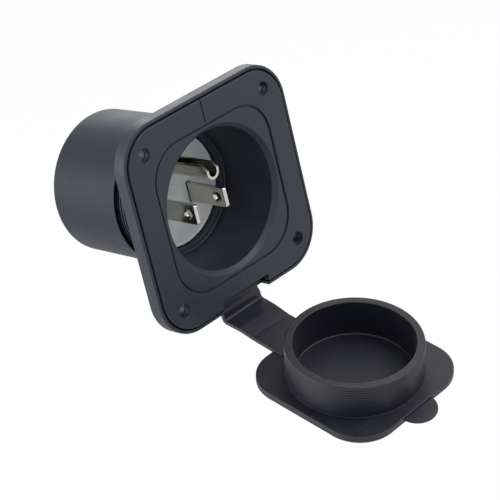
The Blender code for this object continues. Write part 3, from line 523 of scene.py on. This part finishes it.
def makeNeckThread(values):
    piece = bpy.data.objects.new("neckThreadRidge", bpy.data.meshes.new("neckThreadRidge"))
    bpy.context.scene.collection.objects.link(piece)
    length = values["end"] - values["start"]
    runTree(piece, threadTree(), {
        "Radius": values["radius"] * mm, "Depth": values["depth"] * mm, "Turns": length / values["pitch"],
        "Length": length * mm, "Foot": values["foot"] * mm, "Crest": values["crest"] * mm,
        "Outward": values["outward"], "Start": values["start"] * mm, "Material": glassFilledNylon,
    })
    return finishShape(piece, sharp=30)


thread = makeNeckThread(neckThread)
placePiece(thread, "inlet", "charcoal_nylon", "inlet_body")
print("neck thread made:", [round(side * 1000, 2) for side in thread.dimensions])


# Flange frame: the rim round the plate, the pocket behind it and the notch for the strap

flangeFrame = {
    "half": 33.75, "corner": 13.2, "rimFace": -4.5, "rimEdge": 0.45, "backEdge": 0.3, "pocketHalf": 32.75,
    "pocketCorner": 12.2, "pocketFloor": -2.4, "barrelHole": 23.2, "notchLeft": -10.3, "notchRight": 9.8,
    "notchFloor": -0.7, "notchTop": -32.25, "anchorHalf": 13.3, "anchorTop": -24.7, "anchorLow": -32.75,
    "screwSpacing": 50.3, "screwHole": 2.15, "screwFlare": 2.25, "screwFlareDepth": 0.1,
}


def makeFlangeFrame(values):
    half, corner = values["half"], values["corner"]
    pocket, floor = values["pocketHalf"], values["pocketFloor"]
    outside = filletPath([
        (half - 2, 0, 0), (half, 0, values["backEdge"]), (half, values["rimFace"], values["rimEdge"]),
        (pocket + 0.3, values["rimFace"], 0),
    ], closed=False, step=12)
    inside = filletPath([
        (pocket + 0.3, values["rimFace"], 0), (pocket, values["rimFace"], 0.12),
        (pocket, floor, 0.1), (pocket - 2, floor, 0),
    ], closed=False)
    hole = filletPath([
        (values["barrelHole"] + 1, floor, 0), (values["barrelHole"], floor, 0.2),
        (values["barrelHole"], 0, 0.2), (values["barrelHole"] + 1, 0, 0),
    ], closed=False)
    rings = squareRings(outside[:-1], half, corner)
    rings += squareRings(inside[1:], pocket, values["pocketCorner"])
    rings += circleRings(hole)
    piece = skinRings("flangeFrameMoulding", rings, glassFilledNylon)
    anchor = boxObject(
        "anchorPocket", (-values["anchorHalf"], -4.9, values["anchorLow"]),
        (values["anchorHalf"], values["notchFloor"], values["anchorTop"]),
    )
    notch = boxObject(
        "strapNotch", (values["notchLeft"], -9, -half * 1.2),
        (values["notchRight"], values["notchFloor"], values["notchTop"]),
    )
    shapeWith(piece, screwTools("flangeFrame", floor, 1, values) + [anchor])
    shapeWith(piece, [notch])
    return finishShape(piece)


rim = makeFlangeFrame(flangeFrame)
placePiece(rim, "inlet", "charcoal_nylon", "flange_frame")
print("flange frame made")


# Contact base: the pale disc that carries the pins

contactBase = {
    "face": 17.7, "boss": 18.0, "step": 19.0, "shoulder": 18.9, "rear": 24.0, "edge": 0.25,
    "bladeX": 6.35, "bladeZ": -3.1, "slotHalfWide": 3.475, "slotHalfThick": 1.05,
    "groundZ": 8.8, "groundReach": 2.7, "lineRadius": 17.1, "lineDepth": 0.12,
}


def makeContactBase(values):
    face, line = values["face"], values["lineRadius"]
    deep = face + values["lineDepth"]
    path = filletPath([
        (line - 0.25, face, 0), (line - 0.1, deep, 0), (line + 0.1, deep, 0), (line + 0.25, face, 0),
        (values["boss"], face, values["edge"]),
        (values["boss"], values["step"], 0.1), (values["shoulder"], values["step"], 0.2),
        (values["shoulder"], values["rear"], 0.3), (values["shoulder"] - 2, values["rear"], 0),
    ], closed=False)
    rings = circleRings([(4, face), (10, face)] + path + [(8, values["rear"])])
    piece = skinRings("contactBaseDisc", rings, paleUrea, poles=True)
    tools = []
    for side in (-1, 1):
        x = side * values["bladeX"]
        wide, thick = values["slotHalfWide"], values["slotHalfThick"]
        low, high = (x - thick, 10, values["bladeZ"] - wide), (x + thick, 30, values["bladeZ"] + wide)
        tools.append(boxObject(f"bladeSlot{side}", low, high, edge=0.2))
    reach, level = values["groundReach"], values["groundZ"]
    outline = [(-reach, level + reach)]
    outline += [
        (reach * math.cos(math.pi * (1 + step / 24)), level + reach * math.sin(math.pi * (1 + step / 24)))
        for step in range(25)
    ]
    outline += [(reach, level + reach)]
    rings = [[(x, depth, z) for x, z in outline] for depth in (10, 30)]
    tools.append(skinRings("groundSlot", rings, poles=True))
    shapeWith(piece, tools)
    return finishShape(piece, edge=0.08)


base = makeContactBase(contactBase)
placePiece(base, "inlet", "pale_urea", "contact_base")
print("contact base made")


# Blades and ground pin

blades = {
    "x": 6.35, "thick": 1.5, "wide": 6.35, "z": -3.1, "tip": 1.2, "end": 36.2, "chamfer": 0.48, "taper": 0.5,
    "eye": 1.35, "eyeFlare": 0.45, "eyeFromTip": 3.6, "edge": 0.12, "tapping": 2.05, "tappingY": 31.0,
    "seam": 0.12, "seamDepth": 0.14, "seamFrom": 1.6,
}
groundPin = {
    "z": 8.8, "radius": 2.4, "sheet": 0.8, "tip": -2.8, "end": 24.3, "edge": 0.14,
    "tailHalf": 3.5, "tailEnd": 36.2, "tailThick": 1.5, "tapping": 2.05, "tappingY": 31.0,
}


def makeBlade(name, side, values):
    half, wide, tip = values["thick"] / 2, values["wide"] / 2, values["tip"]
    # the folded strip in plan: a flat nose with a slope on each side
    slope, run = values["chamfer"], values["taper"]
    sections = [
        (tip, half - slope, wide - slope), (tip + run, half, wide), (values["end"], half, wide),
    ]
    points, faces = [], []
    for depth, thick, tall in sections:
        points += [(x, depth, z) for x, z in ((-thick, -tall), (thick, -tall), (thick, tall), (-thick, tall))]
    faces += [(0, 1, 2, 3), (8, 9, 10, 11)]
    for row in (0, 4):
        faces += [(row + k, row + (k + 1) % 4, row + 4 + (k + 1) % 4, row + 4 + k) for k in range(4)]
    piece = meshObject(name, points, faces, nickelBrass)
    edge = piece.modifiers.new("edge", "BEVEL")
    edge.width, edge.segments, edge.angle_limit = values["edge"] * mm, 3, math.radians(20)
    bake(piece)
    piece.data.transform(Matrix.Translation(Vector((side * values["x"], 0, values["z"])) * mm))
    place = (side * values["x"], tip + values["eyeFromTip"], values["z"])
    eye, sunk = values["eye"], values["eyeFlare"]
    flare = filletPath([
        (eye + sunk + 1.2, -half - 1.2, 0), (eye + sunk, -half, 0.1), (eye, -half + sunk, 0.15),
        (eye, half - sunk, 0.15), (eye + sunk, half, 0.1), (eye + sunk + 1.2, half + 1.2, 0),
    ], closed=False, step=20)
    tools = [turnedTool(f"{name}Eye", flare, place, sides=72, axis="x")]
    straight = [(values["tapping"], -half - 1), (values["tapping"], half + 1)]
    place = (side * values["x"], values["tappingY"], values["z"])
    tools.append(turnedTool(f"{name}Tapping", straight, place, sides=48, axis="x"))
    # the sheet is folded at the nose, so its two leaves part along the long edges
    for level in (-1, 1):
        x, z = side * values["x"], values["z"] + level * wide
        low = (x - values["seam"] / 2, tip + values["seamFrom"], z - values["seamDepth"])
        high = (x + values["seam"] / 2, 40, z + values["seamDepth"])
        tools.append(boxObject(f"{name}Seam{level}", low, high))
    shapeWith(piece, tools)
    return finishShape(piece, sharp=30)


def makeGroundPin(values):
    outer, inner, level = values["radius"], values["radius"] - values["sheet"], values["z"]
    steps, lip = 32, values["edge"]
    outline = [(-outer, outer - lip)]
    outline += [
        (outer * math.cos(math.pi * (1 + k / steps)), outer * math.sin(math.pi * (1 + k / steps)))
        for k in range(steps + 1)
    ]
    outline += [(outer, outer - lip), (outer - lip, outer), (inner + lip, outer), (inner, outer - lip)]
    outline += [
        (inner * math.cos(math.pi * (2 - k / steps)), inner * math.sin(math.pi * (2 - k / steps)))
        for k in range(steps + 1)
    ]
    outline += [(-inner, outer - lip), (-inner - lip, outer), (-outer + lip, outer)]
    rings = [[(x, depth, z + level) for x, z in outline] for depth in (values["tip"], values["end"])]
    count = len(outline)
    faces = [(k, (k + 1) % count, count + (k + 1) % count, count + k) for k in range(count)]
    faces += [tuple(range(count)), tuple(range(count, 2 * count))]
    piece = meshObject("groundPinFolded", rings[0] + rings[1], faces, nickelBrass)
    # the nose slopes back from the round underside to the open top
    low, high = values["tip"] - outer, values["tip"] + 1.6 * outer
    wedge = [(low, level - 0.4 * outer), (high, level + 1.5 * outer), (low, level + 1.5 * outer)]
    points = [(x, y, z) for x in (-6, 6) for y, z in wedge]
    nose = meshObject("noseSlope", points, [(0, 1, 2), (3, 4, 5), (0, 1, 4, 3), (1, 2, 5, 4), (2, 0, 3, 5)])
    shapeWith(piece, [nose])
    tail = boxObject(
        "groundTail", (-values["tailHalf"], values["end"] - 0.1, level - outer),
        (values["tailHalf"], values["tailEnd"], level - outer + values["tailThick"]), edge=0.15,
    )
    shapeWith(piece, [tail], "UNION")
    straight = [(values["tapping"], -3), (values["tapping"], 3)]
    drill = turnedTool("groundTapping", straight, (0, 0, 0), sides=48)
    place = Matrix.Translation(Vector((0, values["tappingY"], level - outer)) * mm)
    drill.data.transform(place @ Matrix.Rotation(math.pi / 2, 4, "X"))
    shapeWith(piece, [drill])
    return finishShape(piece, sharp=30, edge=values["edge"] * 0.6)


for name, side, node in (("lineBlade", 1, "line_blade"), ("neutralBlade", -1, "neutral_blade")):
    placePiece(makeBlade(name, side, blades), "inlet", "nickel_brass", node)
placePiece(makeGroundPin(groundPin), "inlet", "nickel_brass", "ground_pin")
print("pins made")


# Rear housing: screws over the neck and carries the gland

rearHousing = {
    "front": 19.3, "rear": 48.3, "radius": 22.75, "rearRadius": 22.45, "edge": 0.8, "wall": 3.0,
    "frontEdge": 0.15, "mouthRadius": 22.45, "mouthDepth": 0.95,
    "threadRadius": 21.55, "threadEnd": 28.6, "inner": 19.75, "rest": 38.3, "waist": 17.1,
    "stub": 7.4, "stubLength": 5.8, "sealSeat": 6.2, "cableHole": 4.8,
}


def makeRearHousing(values):
    front, rear = values["front"], values["rear"]
    stubEnd = rear + values["stubLength"]
    path = filletPath([
        (values["mouthRadius"], front, 0.08), (values["radius"], front, values["frontEdge"]),
        (values["rearRadius"], rear, values["edge"]), (values["stub"], rear, 0.5),
        (values["stub"], stubEnd, 0.25), (values["sealSeat"], stubEnd, 0.15), (values["sealSeat"], rear, 0.1),
        (values["cableHole"], rear - 1.0, 0.1), (values["cableHole"], rear - values["wall"], 0.2),
        (values["waist"], rear - values["wall"], 0.5), (values["waist"], values["rest"], 0.2),
        (values["inner"], values["rest"], 0.3), (values["inner"], values["threadEnd"], 0.2),
        (values["threadRadius"], values["threadEnd"], 0.1),
        (values["threadRadius"], front + values["mouthDepth"], 0.1),
    ], step=10)
    return finishShape(skinRings("rearHousingShell", circleRings(path), housingNylonPaintedDarker))


placePiece(makeRearHousing(rearHousing), "inlet", "charcoal_housing", "rear_housing")
print("rear housing made")


# Gland nut: a turned body with ribs set round it by Geometry Nodes

glandNut = {
    "front": 50.5, "rear": 59.0, "radius": 9.0, "ribs": 18, "ribHeight": 0.4, "ribWidth": 1.3,
    "ribShort": 2.0, "inner": 7.6, "shoulder": 54.7, "cableHole": 4.8, "edge": 0.6,
}


def ribTree():
    tree, given, result = newTree("glandRibTree", [
        ("Count", "NodeSocketInt"), ("Radius", "NodeSocketFloat"), ("Middle", "NodeSocketFloat"),
        ("Material", "NodeSocketMaterial"),
    ])
    circle = addNode(tree, "GeometryNodeMeshCircle", {}, {
        "Vertices": given.outputs["Count"], "Radius": given.outputs["Radius"],
    })
    index = addNode(tree, "GeometryNodeInputIndex", {}, {}).outputs[0]
    apart = addNode(tree, "ShaderNodeMath", {"operation": "DIVIDE"}, {0: math.tau, 1: given.outputs["Count"]})
    angle = addNode(tree, "ShaderNodeMath", {"operation": "MULTIPLY"}, {0: index, 1: apart.outputs[0]})
    turn = addNode(tree, "ShaderNodeCombineXYZ", {}, {"Z": angle.outputs[0]})
    ribs = addNode(tree, "GeometryNodeInstanceOnPoints", {}, {
        "Points": circle.outputs[0], "Instance": given.outputs["Geometry"], "Rotation": turn.outputs[0],
    })
    lie = addNode(tree, "ShaderNodeCombineXYZ", {}, {"Y": given.outputs["Middle"]})
    moved = addNode(tree, "GeometryNodeTransform", {}, {
        "Geometry": ribs.outputs[0], "Translation": lie.outputs[0], "Rotation": (-math.pi / 2, 0, 0),
    })
    real = addNode(tree, "GeometryNodeRealizeInstances", {}, {"Geometry": moved.outputs[0]})
    painted = addNode(tree, "GeometryNodeSetMaterial", {}, {
        "Geometry": real.outputs[0], "Material": given.outputs["Material"],
    })
    tree.links.new(painted.outputs[0], result.inputs[0])
    return tree


def makeGlandNut(values):
    path = filletPath([
        (values["inner"], values["front"], 0.15), (values["radius"], values["front"], values["edge"]),
        (values["radius"], values["rear"], 1.1), (values["cableHole"], values["rear"], 0.5),
        (values["cableHole"], values["shoulder"], 0.1), (values["inner"], values["shoulder"], 0.2),
    ])
    rings = [circleRing(across, depth, 144) for across, depth in path]
    return finishShape(skinRings("glandNutBody", rings, housingNylonPaintedDarker))


def makeGlandRibs(values):
    length = values["rear"] - values["front"] - values["ribShort"]
    rib = boxObject(
        "glandNutRibs", (-values["ribHeight"], -values["ribWidth"] / 2, -length / 2),
        (values["ribHeight"], values["ribWidth"] / 2, length / 2), edge=values["ribHeight"] * 0.7, segments=3,
    )
    runTree(rib, ribTree(), {
        "Count": values["ribs"], "Radius": values["radius"] * mm,
        "Middle": (values["front"] + values["rear"]) / 2 * mm, "Material": housingNylonPaintedDarker,
    })
    return finishShape(rib)


placePiece(makeGlandNut(glandNut), "inlet", "charcoal_housing", "gland_nut")
placePiece(makeGlandRibs(glandNut), "inlet", "charcoal_housing", "gland_nut")
print("gland nut made")


# Rubber cover: the lid is modelled shut and its mesh is then turned to the open pose

coverPose = {"hinge": (0, -5.6, -39.8), "openAngle": 107.1, "sideTilt": 2.7}
hinge, sideTilt = Vector(coverPose["hinge"]) * mm, math.radians(coverPose["sideTilt"])
opening = Matrix.Rotation(math.radians(coverPose["openAngle"]), 4, "X")
tilting = Matrix.Rotation(sideTilt, 4, opening @ Vector((0, 0, 1)))  # about the opened strap's own length
openLid = Matrix.Translation(hinge) @ tilting @ opening @ Matrix.Translation(-hinge)
coverLid = {
    "half": 24.2, "corner": 12.0, "sealFace": -4.7, "outerFace": -7.0, "outerEdge": 0.5, "sealEdge": 0.3,
    "skirtBase": 20.74, "skirtWall": 20.72, "skirtRim": 20.65, "skirtInner": 18.2, "skirtHeight": 11.0,
    "bandHeight": 2.4, "straightShare": 0.55, "rimEdge": 0.4, "innerEdge": 0.3,
    "floor": -6.0, "floorFillet": 0.5,
    "rimLines": (18.95, 19.6), "rimLineDepth": 0.035, "ripple": 0.035, "ripplePitch": 0.9,
    "tabZ": 23.4, "tabRadius": 6.2, "tabFront": -6.75, "tabBack": -5.35,
}


def makeCoverLid(values):
    seal, rim = values["sealFace"], values["sealFace"] + values["skirtHeight"]
    inner = filletPath([
        (10, values["floor"], 0), (values["skirtInner"], values["floor"], values["floorFillet"]),
        (values["skirtInner"], rim, values["innerEdge"]),
    ], closed=False, step=12)[:-1]
    # two faint turned lines run round the rim's face
    inner += filletPath([
        (values["skirtInner"], rim - 2, 0), (values["skirtInner"], rim, values["innerEdge"]),
        (values["skirtInner"] + 0.6, rim, 0),
    ], closed=False, step=12)[1:]
    for line in values["rimLines"]:
        groove = ((line - 0.1, rim), (line, rim - values["rimLineDepth"]), (line + 0.1, rim))
        inner += [np.array(spot) for spot in groove]
    inner += filletPath([
        (values["skirtRim"] - 0.6, rim, 0), (values["skirtRim"], rim, values["rimEdge"]),
        (values["skirtRim"] + 0.02, rim - 0.8, 0),
    ], closed=False, step=12)
    # fine rings left by turning the mould run round the outer wall
    wall = []
    straightEnd = seal + values["skirtHeight"] * values["straightShare"]
    for depth in np.arange(rim - 0.9, seal + values["bandHeight"] + 0.2, -values["ripplePitch"] / 6):
        narrow = max(0, (depth - straightEnd) / (rim - straightEnd))
        radius = values["skirtWall"] + (values["skirtRim"] - values["skirtWall"]) * narrow
        # the rings are plain near the rim and fade towards the foot
        share = values["ripple"] * min(1, max(0.15, (depth - seal - 3) / 4))
        wall.append((radius + share * math.cos(math.tau * depth / values["ripplePitch"]), depth))
    foot = filletPath([
        (values["skirtWall"], seal + values["bandHeight"] + 0.15, 0),
        (values["skirtWall"], seal + values["bandHeight"], 0.05),
        (values["skirtBase"], seal + values["bandHeight"] - 0.3, 0.1),
        (values["skirtBase"], seal, 0.1), (values["skirtBase"] + 1, seal, 0),
    ], closed=False)
    half, corner = values["half"], values["corner"]
    plate = filletPath([
        (half - 1.2, seal, 0), (half, seal, values["sealEdge"]),
        (half, values["outerFace"], values["outerEdge"]), (half - 1.5, values["outerFace"], 0),
    ], closed=False)
    rings = circleRings([(3, values["floor"])] + inner + wall + foot)
    rings += squareRings(plate, half, corner)
    rings += [circleRing(12, values["outerFace"])]
    piece = skinRings("coverLidMoulding", rings, coverRubber, poles=True)
    front, back, radius = values["tabFront"], values["tabBack"], values["tabRadius"]
    edge = filletPath([
        (radius * 0.5, front, 0), (radius, front, 0.45), (radius, back, 0.45), (radius * 0.5, back, 0),
    ], closed=False)
    shapeWith(piece, [turnedTool("pullTab", edge, (0, 0, values["tabZ"]), sides=96)], "UNION")
    finishShape(piece)
    piece.data.transform(openLid)
    return piece


lid = makeCoverLid(coverLid)
placePiece(lid, "cover", "black_rubber", "cover_lid")
print("cover lid made")


# Cover strap: from under the plate, out of the notch, round its bend and on to the lid

coverStrap = {
    "left": -9.4, "rightTop": 6.5, "rightLid": 7.5, "widenFrom": -31.5, "widenOver": 5.5,
    "anchorHalf": 12.9, "anchorTo": -30.3, "thick": 1.4, "edge": 0.4, "tiltOver": 10.5, "ringEvery": 0.22,
    # the strap's middle plane, as (y, z, radius of the bend there)
    "route": [
        (-1.7, -25.1, 0), (-1.7, -37.5, 1.5), (-7.6, -39.3, 9), (-12.4, -41.45, 7), (-19.6, -43.9, 5),
        (-24.0, -45.6, 0),
    ],
    # the slit under the plate's edge, the bead and the crease, as place on the route, height and half width
    "swells": [((-1.7, -31.35), -0.42, 0.75), ((-1.7, -34.8), 0.25, 1.5), ((-13.0, -41.7), -0.06, 1.0)],
}


def strapRoute(values):
    rough = filletPath(values["route"], closed=False, step=5)
    points = []
    for first, second in zip(rough, rough[1:]):
        pieces = max(1, round(float(np.linalg.norm(second - first)) / values["ringEvery"]))
        points += [first + (second - first) * tick / pieces for tick in range(pieces)]
    return np.array(points + [rough[-1]])


def swell(reach, middle, half):
    # 1 at the middle, falling smoothly to 0 at half the width
    return math.cos(math.pi / 2 * min(1, abs(reach - middle) / half)) ** 2


def makeCoverStrap(values):
    route = strapRoute(values)
    steps = np.linalg.norm(np.diff(route, axis=0), axis=1)
    reach = np.concatenate([[0], np.cumsum(steps)])
    swells = [
        (reach[np.argmin(np.linalg.norm(route - spot, axis=1))], height, half)
        for spot, height, half in values["swells"]
    ]
    run = np.gradient(route, axis=0)
    run /= np.linalg.norm(run, axis=1)[:, None]
    across = np.stack([run[:, 1], -run[:, 0]], axis=1)  # towards the front, and up once the strap has bent
    rings = []
    for point, normal, along in zip(route, across, reach):
        lower = values["thick"] / 2
        upper = lower + sum(height * swell(along, middle, half) for middle, height, half in swells)
        share = min(1, max(0, (route[0][0] - point[0]) / values["tiltOver"]))
        share *= share * (3 - 2 * share)
        wider = min(1, max(0, (values["widenFrom"] - point[1]) / values["widenOver"]))
        left, right = values["left"], values["rightTop"] + (values["rightLid"] - values["rightTop"]) * wider
        if point[1] > values["anchorTo"]:
            left, right = -values["anchorHalf"], values["anchorHalf"]
        edge = values["edge"]
        outline = filletPath([
            (left, -lower, edge), (right, -lower, edge), (right, upper, edge), (left, upper, edge),
        ], step=22)
        twist = sideTilt * share
        c, s = math.cos(twist), math.sin(twist)
        turned = [(x * c + up * s, up * c - x * s) for x, up in outline]
        rings.append([(x, point[0] + normal[0] * up, point[1] + normal[1] * up) for x, up in turned])
    return finishShape(skinRings("coverStrapMoulding", rings, coverRubber, poles=True), sharp=50)


strap = makeCoverStrap(coverStrap)
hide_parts("cover_anchor")
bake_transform(strap)
print("cover strap made")


# Inner pieces keep their CAD shape

for node, finish in (
    ("terminal_block", blackPhenolic), ("line_clamp", zincSteel), ("neutral_clamp", zincSteel),
    ("ground_clamp", zincSteel), ("line_screw", nickelBrass), ("neutral_screw", nickelBrass),
    ("ground_screw", nickelBrass), ("base_screw_left", zincSteel), ("base_screw_right", zincSteel),
    ("neck_seal", coverRubber), ("gland_seal", coverRubber),
):
    for holder in cadNodes[node].material_slots:
        holder.material = finish
print("inner pieces painted")


# Floor, light and camera

# metres here, and each lamp is a name, a place, a width and a power
studio = {
    "floorZ": -0.26, "floorHalf": 9, "floorColour": "#e6e6e6", "floorGlow": 0.97, "world": 0.56,
    "lamps": [
        ("frontLamp", (0.24, -0.42, 0.52), 0.4, 1.85), ("rearLeftLamp", (-0.72, 0.5, 0.2), 0.5, 2.9),
        ("rearRightLamp", (0.55, 0.65, 0.35), 0.5, 2.0), ("lowLamp", (-0.85, 0.18, -0.12), 0.2, 1.2),
    ],
}
photoCamera = {
    "lens": 145.572, "place": (-0.361366, -0.433728, 0.223001), "turn": (66.1262, 12.6803, -46.054),
}


def seenShare(tree):
    # 1 where the backdrop is seen directly, in a reflection or through something, otherwise 0
    rays = addNode(tree, "ShaderNodeLightPath", {}, {})
    seen = rays.outputs["Is Camera Ray"]
    for label in ("Is Glossy Ray", "Is Transmission Ray"):
        seen = addNode(tree, "ShaderNodeMath", {"operation": "MAXIMUM"}, {
            0: seen, 1: rays.outputs[label],
        }).outputs[0]
    return seen


def makeFloor(values):
    half, level = values["floorHalf"] / mm, values["floorZ"] / mm
    material, tree, shader = newMaterial("paleFloor")
    shader.inputs["Base Color"].default_value = linear(values["floorColour"])
    shader.inputs["Roughness"].default_value = 0.9
    # where it is seen the floor is nearly all glow, and the rest keeps the shadow
    share = addNode(tree, "ShaderNodeMath", {"operation": "MULTIPLY"}, {
        0: seenShare(tree), 1: values["floorGlow"],
    })
    glow = addNode(tree, "ShaderNodeEmission", {}, {"Color": (1, 1, 1, 1), "Strength": 1})
    mixed = addNode(tree, "ShaderNodeMixShader", {}, {
        0: share.outputs[0], 1: shader.outputs[0], 2: glow.outputs[0],
    })
    tree.links.new(mixed.outputs[0], tree.nodes["Material Output"].inputs["Surface"])
    corners = [(-half, -half, level), (half, -half, level), (half, half, level), (-half, half, level)]
    floor = meshObject("studioFloor", corners, [(0, 1, 2, 3)], material)
    floor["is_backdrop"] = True


def makeLight(values):
    world = bpy.data.worlds.new("paleStudio")
    bpy.context.scene.world = world
    world.use_nodes = True
    tree = world.node_tree
    strength = addNode(tree, "ShaderNodeMapRange", {}, {
        "Value": seenShare(tree), "To Min": values["world"], "To Max": 1.0,
    })
    back = tree.nodes["Background"]
    back.inputs["Color"].default_value = (1, 1, 1, 1)
    tree.links.new(strength.outputs["Result"], back.inputs["Strength"])
    for name, place, size, power in values["lamps"]:
        lamp = bpy.data.lights.new(name, "AREA")
        lamp.shape, lamp.size, lamp.energy = "DISK", size, power
        holder = bpy.data.objects.new(name, lamp)
        holder.location = place
        aim = Vector((0, 0, -0.02)) - Vector(place)
        holder.rotation_euler = aim.to_track_quat("-Z", "Y").to_euler()
        bpy.context.scene.collection.objects.link(holder)


def makeCamera(values):
    lens = bpy.data.cameras.new("photoCamera")
    lens.lens, lens.sensor_width = values["lens"], 36
    lens.clip_start, lens.clip_end = 0.05, 40
    holder = bpy.data.objects.new("photoCamera", lens)
    holder.location = values["place"]
    holder.rotation_euler = [math.radians(angle) for angle in values["turn"]]
    bpy.context.scene.collection.objects.link(holder)
    bpy.context.scene.camera = holder


makeFloor(studio)
makeLight(studio)
makeCamera(photoCamera)
bpy.context.scene.view_settings.view_transform = "Standard"
print("studio made")

bpy.context.view_layer.update()
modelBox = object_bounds()
for label, box in (("cad box", cadBox), ("model box", modelBox)):
    print(label, [[round(value * 1000, 2) for value in corner] for corner in box])
